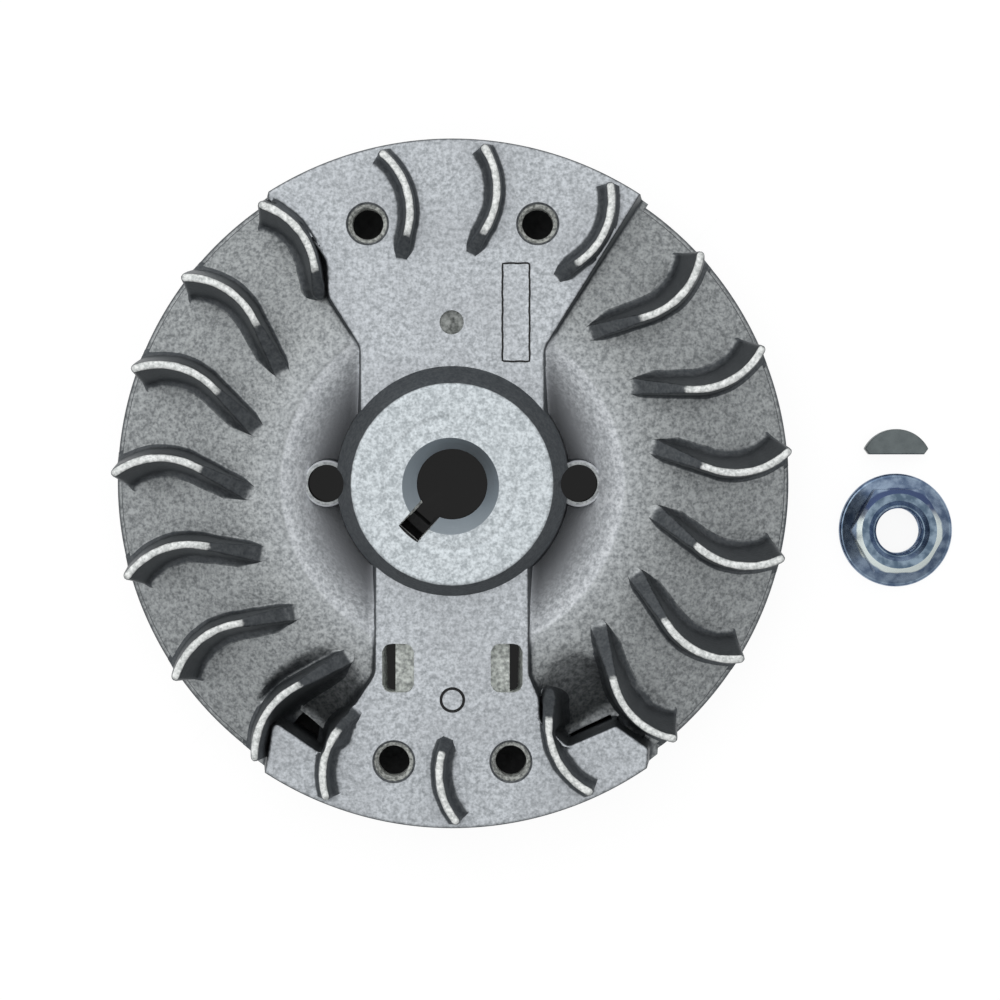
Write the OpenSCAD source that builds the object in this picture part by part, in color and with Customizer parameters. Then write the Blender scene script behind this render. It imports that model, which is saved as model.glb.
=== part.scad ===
// Flywheel of a small two-stroke engine, lying fan side up, with its key and flange nut beside it.
// One aluminium die casting holds the hub, a raised bar with a rim segment at each end, the dished
// web and the curved fan blades. A magnet between two laminated pole shoes is cast into the lower
// segment. Z runs up along the crankshaft's axis, Y along the bar, and z = 0 is the back plane.

/* [Web] */
// Radius of the rim between the two segments, and of the blade tips
rim_r = 52.2; // [50.6:0.1:52.8]
// Height of the rim's upper edge
rim_h = 12; // [10.5:0.1:13.5]
// Bevel round the upper edges of the rim and of the segments
edge_bevel = 0.8; // [0.4:0.1:1.2]
// Height of the web where it meets the hub
well_h = 9.5; // [9:0.1:11]
// How the web falls from its crest to the hub: 1 is a straight cone, more is a rounder bowl
bowl_power = 1.6; // [1.2:0.1:2]
// Radius where the web reaches its full height
crest_r = 27; // [25.5:0.1:29]
// Height of the web's crest
crest_h = 20.2; // [18.5:0.1:21]
// How long the web stays high before it falls to the rim: 1 is a straight cone
fall_power = 1.5; // [1:0.1:2]
// Thickness of the web
web_t = 4.5; // [3.5:0.1:5]
// Inner radius of the solid ring behind the rim
ring_in_r = 42; // [39:0.1:42.5]
// Radius of the two round scoops in the web that lead down to the lower segment
scoop_r = 10; // [8:0.5:12]
// Distance from the axis where a scoop leaves the web
scoop_start_r = 31; // [29:0.5:33]
// Height of a scoop's lowest line at the radius of the ring
scoop_end_h = 11; // [10.5:0.5:14]
// Direction of the left scoop
scoop_left_angle = 238; // [235:1:240]
// Direction of the right scoop
scoop_right_angle = 301; // [299:1:304]

/* [Bar and segments] */
// Radius of the two rim segments, which run closest to the ignition coil
segment_r = 53; // [52.9:0.1:54]
// Height of the face of the bar and the segments
face_h = 22; // [21.3:0.1:23]
// Width of the bar above the hub
bar_top_w = 28.3; // [26:0.1:30]
// Width of the bar below the hub
bar_low_w = 23.8; // [23.2:0.1:25]
// Width of the solid spine behind the bar
spine_w = 17.5; // [16.5:0.1:18.5]
// Inner radius of the solid metal behind the segments
segment_in_r = 36; // [33:0.1:37]

/* [Hub] */
// Radius of the hub's face
hub_r = 15.3; // [14.8:0.1:16]
// Height of the hub's face
hub_h = 26.5; // [25.5:0.1:28]
// Radius of the hub at the level of the bar's face
hub_foot_r = 17.8; // [17:0.1:18.4]
// Radius of the boss that the hub rests on at the back
boss_r = 13; // [11:0.1:15]
// Radius of the land at the small end of the tapered bore
bore_r = 5.4; // [5:0.1:6]
// Length of that land
land_len = 4; // [3.5:0.1:5]
// Radius of the taper's large end
taper_r = 6.4; // [6.2:0.1:7]
// Radius of the relief at the back of the bore
relief_r = 7.5; // [7.2:0.1:8.5]
// Depth of that relief
relief_len = 2.5; // [2:0.1:3.5]
// Radius of the bevelled seat at the front of the bore
mouth_r = 7.4; // [7:0.1:8.2]

/* [Keyway and key] */
// Direction of the keyway, from the X axis
keyway_angle = 228.5; // [220:0.5:236]
// Thickness of the key
key_t = 3; // [2.5:0.1:3.4]
// Height of the key, from its flat to the top of its arc
key_h = 4; // [3.6:0.1:4.6]
// Radius of the key's arc
key_arc_r = 5.6; // [5:0.1:6.2]
// Corner cut at the ends of the key's flat
key_corner = 0.9; // [0.5:0.1:1.3]
// Side play of the key in its keyway
key_play = 0.1; // [0.06:0.02:0.3]
// Distance of the keyway's floor from the axis
keyway_r = 7.2; // [6.9:0.1:7.4]
// Width of the cast notch at the keyway's mouth
notch_w = 3.9; // [3.6:0.1:4.6]
// Distance of the notch's outer end from the axis
notch_r = 10.1; // [9:0.1:11]
// Depth of the notch below the hub's face
notch_depth = 5; // [3:0.1:7]

/* [Blades] */
// Height of the blades' ridges
blade_h = 26; // [25:0.1:27.5]
// Thickness of a blade at its ridge
ridge_t = 1.3; // [1:0.1:1.8]
// Radius of a blade's curved outer part, along its middle
blade_arc_r = 11.5; // [10.5:0.1:13]
// Distance from the axis to the lowest point of that curve
blade_low_r = 44; // [43:0.1:45]
// How far the curve dips behind the blade's own ray
blade_dip = 1; // [0.5:0.1:1.5]
// Angle of the curve where the straight inner part begins
blade_in_angle = 22; // [16:1:28]
// Length of the straight inner part
ramp_len = 8.6; // [8:0.1:9.5]
// Radius where the ridges start
ridge_r = 39; // [38:0.1:41]
// Radius where a side blade's ramp comes out of the web
ramp_r = 31; // [30:0.1:33]
// The same radius for a blade on a segment
segment_ramp_r = 35.2; // [34:0.1:37]
// Lean of the hollow side, in degrees
hollow_draft = 9; // [5:0.5:12]
// Lean of the bulging side, in degrees
back_draft = 3; // [2:0.5:5]

/* [Holes] */
// Radius of the core of the four threaded holes
screw_r = 2.5; // [2.1:0.05:2.75]
// Radius of their bevelled mouths
screw_mouth_r = 3.3; // [3:0.1:3.8]
// Depth of the threaded holes
screw_depth = 8; // [6:0.1:8.5]
// Distance between the two holes of the upper segment
screw_top_pitch = 26.1; // [24:0.1:27]
// Height of those holes above the axis, on Y
screw_top_y = 39.9; // [39:0.1:42]
// Distance between the two holes of the lower segment
screw_low_pitch = 18; // [16:0.1:19]
// Depth of those holes below the axis, on Y
screw_low_y = 42.7; // [42:0.1:44]
// Radius of the two puller holes
puller_r = 2.9; // [2.5:0.05:3]
// Wall round a puller hole
puller_wall = 0.8; // [0.6:0.1:1.2]
// Distance between the puller holes
puller_pitch = 39; // [38.4:0.1:40]
// Height of the puller bosses
puller_h = 17; // [15.5:0.1:18.5]
// Width of a core slot in the lower bar
slot_w = 4.9; // [4.5:0.1:5.2]
// Length of a core slot
slot_len = 7.3; // [6.6:0.1:8]
// Distance between the middles of the two slots
slot_pitch = 16.7; // [16:0.1:17.2]
// Distance of the slots from the axis
slot_y = 28.3; // [27:0.1:29.5]
// Depth of the ledge inside a slot
slot_ledge = 4.5; // [3:0.1:5.5]
// Height of the floor of the trenches along the lower segment's inner wall
trench_h = 4; // [3.2:0.1:6]
// Width of those trenches
trench_w = 2.6; // [2:0.1:3]

/* [Magnet and poles] */
// Thickness of one pole sheet
sheet_t = 1.2; // [1:0.05:1.3]
// Sheets in one pole shoe
sheets = 9; // [7:1:9]
// Height of the lowest sheet's underside
stack_z = 1.2; // [1:0.1:1.4]
// Width of the magnet between the poles
magnet_w = 12; // [10:0.1:13]
// Distance of the magnet's inner face from the rim of the segments
magnet_depth = 14; // [13:0.1:14.5]
// Depth of the magnet towards the rim
magnet_t = 7.5; // [6:0.1:8]
// Radius of a pole rivet's shank
rivet_r = 1.5; // [1.2:0.05:1.7]
// Radius of its heads
rivet_head_r = 2.3; // [2.1:0.1:2.6]
// Height of a head
rivet_head_t = 0.7; // [0.5:0.05:0.8]

/* [Nut] */
// Radius of the nut's flange
flange_r = 8.95; // [8.5:0.05:9.5]
// Thickness of the flange at its edge
flange_t = 1.3; // [1.1:0.1:1.8]
// Width of the hexagon across its flats
hex_af = 13; // [12.6:0.1:13.4]
// Height of the nut
nut_h = 8; // [7.4:0.1:9]
// Radius of the nut's thread at its crests
nut_bore_r = 3.55; // [3.3:0.05:3.7]
// Radius of the bevel at both ends of the thread
nut_mouth_r = 4.75; // [4.2:0.05:5]

/* [Set beside the flywheel] */
// Distance of the key and the nut from the axis, on X
loose_x = 70; // [68:0.5:76]
// Place of the nut's axis, on Y
nut_y = -7.6; // [-12:0.1:-6.5]
// Place of the key's flat, on Y
key_y = 4.4; // [3:0.1:8]

/* [Hidden] */
$fn = 96;
cut = 1;
round_play = 0.05;
hub_top_bevel = 0.4;
foot_cove = 0.6;
neck_y = 20.9;
flare_x = 31;
flare_y = 48;
left_flare = [[-28.4, 43.6], [-23.1, 39.7], [-19.4, 34.2], [-19.1, 28.8]];
low_neck_y = 29.2;
low_left_flare = [-15.4, -34.4];
low_right_flare = [[13.4, -36.3], [13.4, -33.1]];
low_corner_y = 46.5;
pole_lean = 3;
pole_wide = 12;
pole_inset = 7;
rivet_near = 3;
rivet_side = 4;
rivet_far = 8.5;
rivet_far_side = 8.8;
mark_r = 1.85;
mark_depth = 0.4;
mark_y = 24.8;
flange_rise = 1.9;
web_steps = 5;
blade_steps = 6;
tip_angle = 43;
blade_root_h = 2.7;

// Direction of each blade's ridge where it starts. The spacing is uneven, as on the casting.
side_blades = [3.5, 21.5, 40.5, 140.5, 158, 176, 194, 213, 232, 309, 327, 345.5];
segment_blades = [60, 82.5, 100, 122.5, 246, 268.5, 292];

// Outline of the bar and the upper segment, with the left flare drawn in behind a blade
upper_outline = [
    [bar_top_w / 2, 0],
    [bar_top_w / 2, neck_y],
    [flare_x, flare_y],
    [0, segment_r + cut],
    [-flare_x, flare_y],
    left_flare[0],
    left_flare[1],
    left_flare[2],
    left_flare[3],
    [-bar_top_w / 2, neck_y],
    [-bar_top_w / 2, 0]
];
// Inner walls of the lower segment, left and right, from the bar to the rim
left_wall = [[-20, -41.4], [-27.5, -36.3]];
right_wall = [[17.7, -40.3], [25.1, -37.1], [30.2, -40.6]];
lower_outline = concat(
    [[-bar_low_w / 2, 0], [-bar_low_w / 2, -low_neck_y], low_left_flare],
    left_wall,
    [[-flare_x, -low_corner_y], [0, -segment_r - cut], [flare_x, -low_corner_y]],
    [right_wall[2], right_wall[1], right_wall[0]],
    low_right_flare,
    [[bar_low_w / 2, -low_neck_y], [bar_low_w / 2, 0]]
);

stack_h = sheets * sheet_t;
magnet_in_r = segment_r - magnet_depth;
pole_near_x = magnet_w / 2 + pole_lean;
pole_far_x = pole_near_x + pole_wide;
pole_in_x = magnet_w / 2 + pole_inset;
rivet_points = [
    [magnet_w / 2 + rivet_side, -magnet_in_r - rivet_near],
    [magnet_w / 2 + rivet_far_side, -magnet_in_r - rivet_far]
];
key_centre_y = key_h - key_arc_r;

// Height of the web's front at radius r: a bowl up to the crest, then a falling curve
function web_z(r) =
    r <= hub_foot_r ? well_h
    : r <= crest_r ? crest_h - (crest_h - well_h) * pow((crest_r - r) / (crest_r - hub_foot_r), bowl_power)
    : crest_h - (crest_h - rim_h) * pow((r - crest_r) / (rim_r - crest_r), fall_power);

// Radii at which a profile follows the web, out to radius last
function web_radii(last) = concat(
    [for (i = [0 : web_steps - 1]) hub_foot_r + (crest_r - hub_foot_r) * i / web_steps],
    [for (i = [0 : web_steps]) crest_r + (last - crest_r) * i / web_steps]
);

// A blade's middle line at angle a of its arc, which runs on straight inwards from its start
function arc_point(a) = [
    blade_low_r + blade_arc_r * sin(a),
    -blade_dip + blade_arc_r * (1 - cos(a))
];

// Stations along a blade, from its inner end past the rim: [point, direction, half thickness on top]
function stations() = concat(
    [[arc_point(-blade_in_angle) - ramp_len * [cos(blade_in_angle), -sin(blade_in_angle)],
        -blade_in_angle, ridge_t / 3]],
    [for (i = [0 : blade_steps])
        let (a = -blade_in_angle + (tip_angle + blade_in_angle) * i / blade_steps)
        [arc_point(a), a, ridge_t / 2]]
);

// A point beside a station, at height z: the walls lean outwards below the ridge
function beside(station, side, z) =
    let (
        lean = (blade_h - z) * tan(side > 0 ? hollow_draft : back_draft),
        off = side * (station[2] + lean),
        p = station[0] + off * [-sin(station[1]), cos(station[1])]
    )
    [p[0], p[1], z];

// One blade at full height: a curved wall with leaning sides that starts inside the web
module blade() {
    line = stations();
    n = len(line);
    ring = 2 * n;
    outline = function(z) concat(
        [for (s = line) beside(s, -1, z)],
        [for (i = [n - 1 : -1 : 0]) beside(line[i], 1, z)]
    );
    walls = [for (j = [0 : ring - 1]) [j, ring + j, ring + (j + 1) % ring, (j + 1) % ring]];
    caps = [[for (j = [0 : ring - 1]) j], [for (j = [ring - 1 : -1 : 0]) ring + j]];
    polyhedron(points = concat(outline(blade_root_h), outline(blade_h)), faces = concat(walls, caps));
}

// The blades, turned to the rim's radius, with a ramp from the ground up to the ridges
module blades(angles, ramp_r, ramp_h) {
    intersection() {
        rotate_extrude() polygon([
            [ramp_r - 2, blade_root_h - cut],
            [rim_r, blade_root_h - cut],
            [rim_r, blade_h + cut],
            [ridge_r + (ridge_r - ramp_r) * cut / (blade_h - ramp_h), blade_h + cut],
            [ramp_r, ramp_h],
            [ramp_r - 2, ramp_h]
        ]);
        for (a = angles) rotate(a) blade();
    }
}

// The dished web with its rim
module web() {
    difference() {
        rotate_extrude() polygon(concat(
            [[0, 0], [0, well_h]],
            [for (r = web_radii(rim_r - edge_bevel)) [r, web_z(r)]],
            [[rim_r, web_z(rim_r - edge_bevel) - edge_bevel], [rim_r, 0]]
        ));
        scoops(scoop_r);
    }
}

// Both scoops: sloping round bars whose lowest line runs from the web down to the ring
module scoops(bar_r) {
    drop = web_z(scoop_start_r) - scoop_end_h;
    run = ring_in_r - scoop_start_r;
    slope = atan2(drop, run);
    for (a = [scoop_left_angle, scoop_right_angle]) rotate(a)
        translate([scoop_start_r, 0, web_z(scoop_start_r)]) rotate([0, slope, 0])
            translate([-bar_r, 0, scoop_r])
                rotate([0, 90, 0]) cylinder(r = bar_r, h = bar_r + run / cos(slope) + trench_w);
}

// The bar and both segments, turned to their radius with a bevelled edge
module raised_face() {
    intersection() {
        rotate_extrude() polygon([
            [0, 0],
            [segment_r, 0],
            [segment_r, face_h - edge_bevel],
            [segment_r - edge_bevel, face_h],
            [0, face_h]
        ]);
        union() {
            linear_extrude(face_h + cut) polygon(upper_outline);
            linear_extrude(face_h + cut) polygon(lower_outline);
        }
    }
}

module hub() {
    rotate_extrude() polygon([
        [0, 0],
        [boss_r, 0],
        [hub_foot_r + 0.4, well_h - web_t],
        [hub_foot_r, face_h],
        [hub_foot_r - foot_cove, face_h + foot_cove],
        [hub_r + hub_top_bevel, hub_h - hub_top_bevel],
        [hub_r, hub_h],
        [0, hub_h]
    ]);
}

// The hollow behind the web, on both sides of the spine and short of the segments
module back_hollow() {
    difference() {
        rotate_extrude() polygon(concat(
            [[boss_r, -cut], [boss_r, well_h - web_t]],
            [for (r = web_radii(ring_in_r)) [r, web_z(r) - web_t]],
            [[ring_in_r, -cut]]
        ));
        scoops(scoop_r + web_t);
        translate([-spine_w / 2, -segment_r, -2 * cut]) cube([spine_w, 2 * segment_r, face_h]);
        translate([0, 0, -2 * cut]) linear_extrude(face_h) difference() {
            union() {
                polygon(upper_outline);
                polygon(lower_outline);
            }
            circle(r = segment_in_r);
        }
    }
}

module crank_bore() {
    translate([0, 0, -cut]) cylinder(r = relief_r, h = relief_len + cut);
    land_z = hub_h - (mouth_r - bore_r) - land_len;
    translate([0, 0, relief_len]) cylinder(r1 = taper_r, r2 = bore_r, h = land_z - relief_len);
    translate([0, 0, land_z]) cylinder(r = bore_r, h = land_len + cut);
    translate([0, 0, land_z + land_len])
        cylinder(r1 = bore_r, r2 = mouth_r + cut, h = mouth_r - bore_r + cut);
    rotate(keyway_angle) {
        keyway_w = key_t + key_play;
        translate([0, -keyway_w / 2, relief_len - cut]) cube([keyway_r, keyway_w, hub_h]);
        translate([0, -notch_w / 2, hub_h - notch_depth]) cube([notch_r, notch_w, notch_depth + cut]);
    }
}

module screw_hole() {
    translate([0, 0, face_h - screw_depth]) cylinder(r = screw_r, h = screw_depth + cut);
    bevel = screw_mouth_r - screw_r;
    translate([0, 0, face_h - bevel]) cylinder(r1 = screw_r, r2 = screw_mouth_r + cut, h = bevel + cut);
}

module screw_holes() {
    for (side = [-1, 1]) {
        translate([side * screw_top_pitch / 2, screw_top_y, 0]) screw_hole();
        translate([side * screw_low_pitch / 2, -screw_low_y, 0]) screw_hole();
    }
}

module puller_bosses() {
    for (side = [-1, 1]) translate([side * puller_pitch / 2, 0, well_h - web_t])
        cylinder(r = puller_r + puller_wall, h = puller_h - well_h + web_t);
}

module puller_holes() {
    for (side = [-1, 1]) translate([side * puller_pitch / 2, 0, -cut])
        cylinder(r = puller_r, h = face_h);
}

// Two slots in the lower bar. Each drops to a ledge on the spine, and goes through beside it.
module core_slots() {
    for (side = [-1, 1]) translate([side * slot_pitch / 2, -slot_y, 0]) {
        translate([0, 0, face_h - slot_ledge]) linear_extrude(slot_ledge + cut) slot_outline();
        linear_extrude(face_h + cut) difference() {
            slot_outline();
            translate([-side * slot_pitch / 2 - spine_w / 2, -slot_len]) square([spine_w, 2 * slot_len]);
        }
    }
}

module slot_outline() {
    intersection() {
        square([slot_w, slot_len], center = true);
        circle(r = slot_len / 2 + 0.3);
    }
}

// A narrow trench along the inner walls of the lower segment
module trenches() {
    translate([0, 0, trench_h]) linear_extrude(face_h) {
        polygon([left_wall[0], left_wall[1],
            left_wall[1] + [-0.3, trench_w], left_wall[0] + [-0.3, trench_w * 0.6]]);
        polygon([right_wall[1], right_wall[2] - [1.2, -0.8],
            right_wall[2] + [-2.8, trench_w], right_wall[1] + [-0.3, trench_w * 0.4]]);
    }
}

// Outline of a pole shoe, out to radius reach
module pole_outline(side, reach) {
    intersection() {
        polygon([
            [side * magnet_w / 2, -magnet_in_r],
            [side * magnet_w / 2, -magnet_in_r - magnet_t],
            [side * pole_near_x, -segment_r - 2 * cut],
            [side * pole_far_x, -segment_r - 2 * cut],
            [side * pole_in_x, -magnet_in_r]
        ]);
        circle(r = reach);
    }
}

// Room that the cast-in magnet, poles and rivets take
module magnet_pocket() {
    translate([0, 0, stack_z]) {
        for (side = [-1, 1]) linear_extrude(stack_h) pole_outline(side, segment_r + cut);
        magnet_block();
    }
    for (side = [-1, 1], p = rivet_points)
        translate([side * p[0], p[1], stack_z - rivet_head_t])
            cylinder(r = rivet_head_r + round_play, h = stack_h + 2 * rivet_head_t);
}

module magnet_block() {
    translate([-magnet_w / 2, -magnet_in_r - magnet_t, 0]) cube([magnet_w, magnet_t, stack_h]);
}

module casting() {
    color([0.72, 0.73, 0.74]) difference() {
        union() {
            difference() {
                union() {
                    difference() {
                        web();
                        trenches();
                    }
                    raised_face();
                    blades(side_blades, ramp_r, web_z(ramp_r) - 0.4);
                    blades(segment_blades, segment_ramp_r, face_h - 0.4);
                }
                back_hollow();
            }
            hub();
            puller_bosses();
        }
        crank_bore();
        screw_holes();
        puller_holes();
        core_slots();
        magnet_pocket();
        translate([0, mark_y, face_h - mark_depth]) cylinder(r = mark_r, h = mark_depth + cut);
    }
}

module magnet() {
    color([0.3, 0.3, 0.32]) translate([0, 0, stack_z]) magnet_block();
}

// One steel sheet of a pole shoe, with its two rivet holes
module pole_sheet(side, number) {
    color([0.5, 0.51, 0.53]) translate([0, 0, stack_z + (number - 1) * sheet_t])
        linear_extrude(sheet_t) difference() {
            pole_outline(side, segment_r);
            for (p = rivet_points) translate([side * p[0], p[1]]) circle(r = rivet_r + round_play);
        }
}

// One rivet through a pole shoe, with a flat head at each end
module pole_rivet(side, number) {
    p = rivet_points[number - 1];
    color([0.6, 0.6, 0.6]) translate([side * p[0], p[1], stack_z - rivet_head_t]) {
        cylinder(r = rivet_head_r, h = rivet_head_t);
        cylinder(r = rivet_r, h = stack_h + 2 * rivet_head_t);
        translate([0, 0, stack_h + rivet_head_t]) cylinder(r = rivet_head_r, h = rivet_head_t);
    }
}

// The half-moon key, lying on its side with its flat towards the nut
module woodruff_key() {
    color([0.36, 0.4, 0.4]) translate([loose_x, key_y, 0]) linear_extrude(key_t) intersection() {
        translate([0, key_centre_y]) circle(r = key_arc_r);
        wide = sqrt(pow(key_arc_r, 2) - pow(key_corner - key_centre_y, 2));
        polygon([
            [-wide + 0.75 * key_corner, 0],
            [wide - 0.75 * key_corner, 0],
            [wide + 0.02, key_corner],
            [wide + 0.02, key_h + cut],
            [-wide - 0.02, key_h + cut],
            [-wide - 0.02, key_corner]
        ]);
    }
}

// The hexagon nut with its conical flange; the hexagon's corners are turned off by a cone
module flange_nut() {
    color([0.62, 0.68, 0.74]) translate([loose_x, nut_y, 0]) difference() {
        union() {
            intersection() {
                cylinder(r = hex_af / sqrt(3), h = nut_h, $fn = 6);
                rotate_extrude() polygon([
                    [0, 0],
                    [hex_af / sqrt(3) + cut, 0],
                    [hex_af / sqrt(3) + cut, nut_h - 0.5 - 0.5 * cut],
                    [hex_af / 2 - 0.3, nut_h],
                    [0, nut_h]
                ]);
            }
            rotate_extrude() polygon([
                [0, 0],
                [flange_r - 0.3, 0],
                [flange_r, 0.3],
                [flange_r, flange_t],
                [hex_af / 2, flange_t + flange_rise * (flange_r - hex_af / 2) / 4.5],
                [0, flange_t + flange_rise]
            ]);
        }
        translate([0, 0, -cut]) cylinder(r = nut_bore_r, h = nut_h + 2 * cut);
        bevel = nut_mouth_r - nut_bore_r;
        translate([0, 0, nut_h - bevel]) cylinder(r1 = nut_bore_r, r2 = nut_mouth_r + cut, h = bevel + cut);
        translate([0, 0, -cut]) cylinder(r1 = nut_mouth_r + cut, r2 = nut_bore_r, h = bevel + cut);
    }
}

casting();
magnet();
for (i = [1 : sheets]) {
    pole_sheet(-1, i);
    pole_sheet(1, i);
}
for (i = [1 : 2]) {
    pole_rivet(-1, i);
    pole_rivet(1, i);
}
woodruff_key();
flange_nut();
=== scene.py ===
# %% [markdown]
# # Dressing a small engine's flywheel
#
# The object is the flywheel of a small two-stroke engine, lying on a table with its fan side up, and
# beside it the half-moon key and the flange nut that hold it on the crankshaft. The imported model gives
# the pieces, the bodies and the sizes. This script gives them their finished shapes and surfaces.
# The first cell loads that model, and keeps its outer box, whose lowest point sets the floor.

import bpy
import numpy as np
from mathutils import Matrix, Vector


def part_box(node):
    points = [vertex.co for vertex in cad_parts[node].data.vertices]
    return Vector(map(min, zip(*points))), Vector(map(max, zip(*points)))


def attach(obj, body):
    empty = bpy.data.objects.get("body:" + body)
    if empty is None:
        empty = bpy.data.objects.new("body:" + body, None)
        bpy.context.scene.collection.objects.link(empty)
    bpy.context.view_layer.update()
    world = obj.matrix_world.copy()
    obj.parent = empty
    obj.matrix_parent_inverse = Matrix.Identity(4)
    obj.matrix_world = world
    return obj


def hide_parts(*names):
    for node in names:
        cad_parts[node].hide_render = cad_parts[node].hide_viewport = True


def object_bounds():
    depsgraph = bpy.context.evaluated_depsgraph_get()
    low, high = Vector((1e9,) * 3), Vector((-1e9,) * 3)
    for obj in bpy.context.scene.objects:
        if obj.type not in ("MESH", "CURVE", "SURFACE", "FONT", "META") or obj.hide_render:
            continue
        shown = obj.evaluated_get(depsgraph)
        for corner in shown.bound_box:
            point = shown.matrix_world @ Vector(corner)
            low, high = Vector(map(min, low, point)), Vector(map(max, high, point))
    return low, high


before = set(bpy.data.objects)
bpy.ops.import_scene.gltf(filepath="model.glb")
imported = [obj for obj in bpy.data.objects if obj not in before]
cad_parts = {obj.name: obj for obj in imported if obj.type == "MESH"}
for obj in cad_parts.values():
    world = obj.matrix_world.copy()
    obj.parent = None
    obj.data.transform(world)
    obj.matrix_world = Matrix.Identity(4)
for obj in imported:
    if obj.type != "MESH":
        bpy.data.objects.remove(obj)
cad_low, cad_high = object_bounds()

# %% [markdown]
# ## The sizes that drive everything
#
# All shapes are worked out in millimetres and scaled once, when they become a mesh. The outer sizes
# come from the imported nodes, so that they can't drift from them. The rest are named here.

# %% Sizes
MM = 0.001


def node_box(name):
    """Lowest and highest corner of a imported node, in millimetres."""
    low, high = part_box(name)
    return np.array(low) / MM, np.array(high) / MM


cast_high = node_box("casting")[1]
segment_r = cast_high[1]
hub_h = cast_high[2]
rim_r = segment_r - 0.65
rim_h = 12.0
face_h = hub_h - 4.5
ridge_h = hub_h - 0.5
well_h = 9.5
crest_r, crest_h = 27.0, 20.2
web_t, ring_r = 4.5, 42.0
hub_r, hub_foot_r, boss_r = 15.3, 17.8, 13.0
print("segment radius", round(segment_r, 2), "hub height", round(hub_h, 2))

# %% [markdown]
# ## From arrays to a solid
#
# Almost every shape here is a stack of rings: a profile turned round an axis, an outline carried
# upwards, or a cross-section carried along a path. So one helper joins ring to ring with quads, and
# either caps the two ends or joins the last ring to the first. Writing the corner numbers as one
# array keeps Python out of the inner loop, and the result is always a closed shell.

# %% Ring solids
def solid(name, rings, closed=False):
    """A closed shell from rings[i, j], ring i and its point j, in millimetres.

    Quad (i, j) joins points j and j + 1 of ring i to the same points of ring i + 1. Each ring closes on
    itself. The first and last rings are capped, or joined to each other when closed is true.
    """
    rows, cols = rings.shape[:2]
    i = np.arange(rows if closed else rows - 1)[:, None]
    j = np.arange(cols)[None, :]
    near, far, ahead = i * cols, (i + 1) % rows * cols, (j + 1) % cols
    quads = np.stack([near + j, near + ahead, far + ahead, far + j], -1).reshape(-1, 4)
    faces = quads.tolist()
    if not closed:
        faces += [np.arange(cols)[::-1].tolist(), np.arange((rows - 1) * cols, rows * cols).tolist()]
    mesh = bpy.data.meshes.new(name)
    mesh.from_pydata((rings.reshape(-1, 3) * MM).tolist(), [], faces)
    triangles = rings.reshape(-1, 3)[np.concatenate([quads[:, :3], quads[:, [0, 2, 3]]])]
    caps = [] if closed else [fan(rings[0][::-1]), fan(rings[-1])]
    corners = np.concatenate([triangles, *caps])
    if np.linalg.det(corners).sum() < 0:
        mesh.flip_normals()
    piece = bpy.data.objects.new(name, mesh)
    bpy.context.scene.collection.objects.link(piece)
    return piece


def fan(ring):
    """The triangles that join a ring's first point to each of its other edges."""
    first = np.broadcast_to(ring[0], (len(ring) - 2, 3))
    return np.stack([first, ring[1:-1], ring[2:]], 1)


def turn_profile(name, profile, steps=192, centre=(0, 0), closed=False):
    """A turned solid: each (radius, height) of the profile becomes a circle round the centre.

    x = centre x + radius * cos(turn) and y = centre y + radius * sin(turn), for turn in equal steps.
    """
    profile = np.array(profile, float)
    turn = np.linspace(0, 2 * np.pi, steps, endpoint=False)
    radius, height = profile[:, :1], profile[:, 1:]
    rings = np.stack([
        centre[0] + radius * np.cos(turn),
        centre[1] + radius * np.sin(turn),
        height + 0 * turn,
    ], -1)
    return solid(name, rings, closed)


def prism(name, outline, low, high):
    """An outline of (x, y) points carried straight up from height low to height high."""
    outline = np.array(outline, float)
    levels = [np.column_stack([outline, np.full(len(outline), z)]) for z in (low, high)]
    return solid(name, np.array(levels))


def round_corner(centre, radius, start, end, count=7):
    """Points of an arc in a profile: centre + radius * (cos, sin), from angle start to end in degrees."""
    a = np.radians(np.linspace(start, end, count))
    return [(centre[0] + radius * np.cos(t), centre[1] + radius * np.sin(t)) for t in a]


print("helpers ready: solid, turn_profile, prism")

# %% [markdown]
# ## Joining and cutting
#
# A casting is one piece of metal, so its hub, bar, segments and web are joined into one shell, and its
# bores and pockets are cut from that. A Boolean modifier does each step. Its manifold solver needs
# closed shells, which the ring solids are, and gives one back. The result is kept and the tools go.

# %% Booleans
def combine(piece, operation, tools, keep_tools=False):
    """Joins tools to the piece (UNION), cuts them from it (DIFFERENCE) or keeps the overlap (INTERSECT)."""
    for tool in tools:
        step = piece.modifiers.new(operation.title(), "BOOLEAN")
        step.operation = operation
        step.solver = "MANIFOLD"
        step.object = tool
    shaped = piece.evaluated_get(bpy.context.evaluated_depsgraph_get())
    mesh = bpy.data.meshes.new_from_object(shaped)
    piece.modifiers.clear()
    piece.data = mesh
    mesh.name = piece.name
    if not keep_tools:
        for tool in tools:
            bpy.data.objects.remove(tool)
    return piece


def join(name, pieces):
    """Several closed shells as one piece."""
    starts = np.cumsum([0] + [len(each.data.vertices) for each in pieces])
    vertices = [tuple(v.co) for each in pieces for v in each.data.vertices]
    faces = [[i + start for i in f.vertices]
             for each, start in zip(pieces, starts) for f in each.data.polygons]
    mesh = bpy.data.meshes.new(name)
    mesh.from_pydata(vertices, [], faces)
    for each in pieces[1:]:
        bpy.data.objects.remove(each)
    pieces[0].data = mesh
    pieces[0].name = name
    return pieces[0]


def finish_shading(piece, crease=28):
    """Smooth faces, sharp edges where two faces meet at more than crease degrees, flat faces kept flat."""
    mesh = piece.data
    mesh.polygons.foreach_set("use_smooth", np.ones(len(mesh.polygons), bool))
    mesh.set_sharp_from_angle(angle=np.radians(crease))
    weigh = piece.modifiers.new("Weigh normals", "WEIGHTED_NORMAL")
    weigh.keep_sharp = True
    weigh.weight = 100
    return piece


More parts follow.
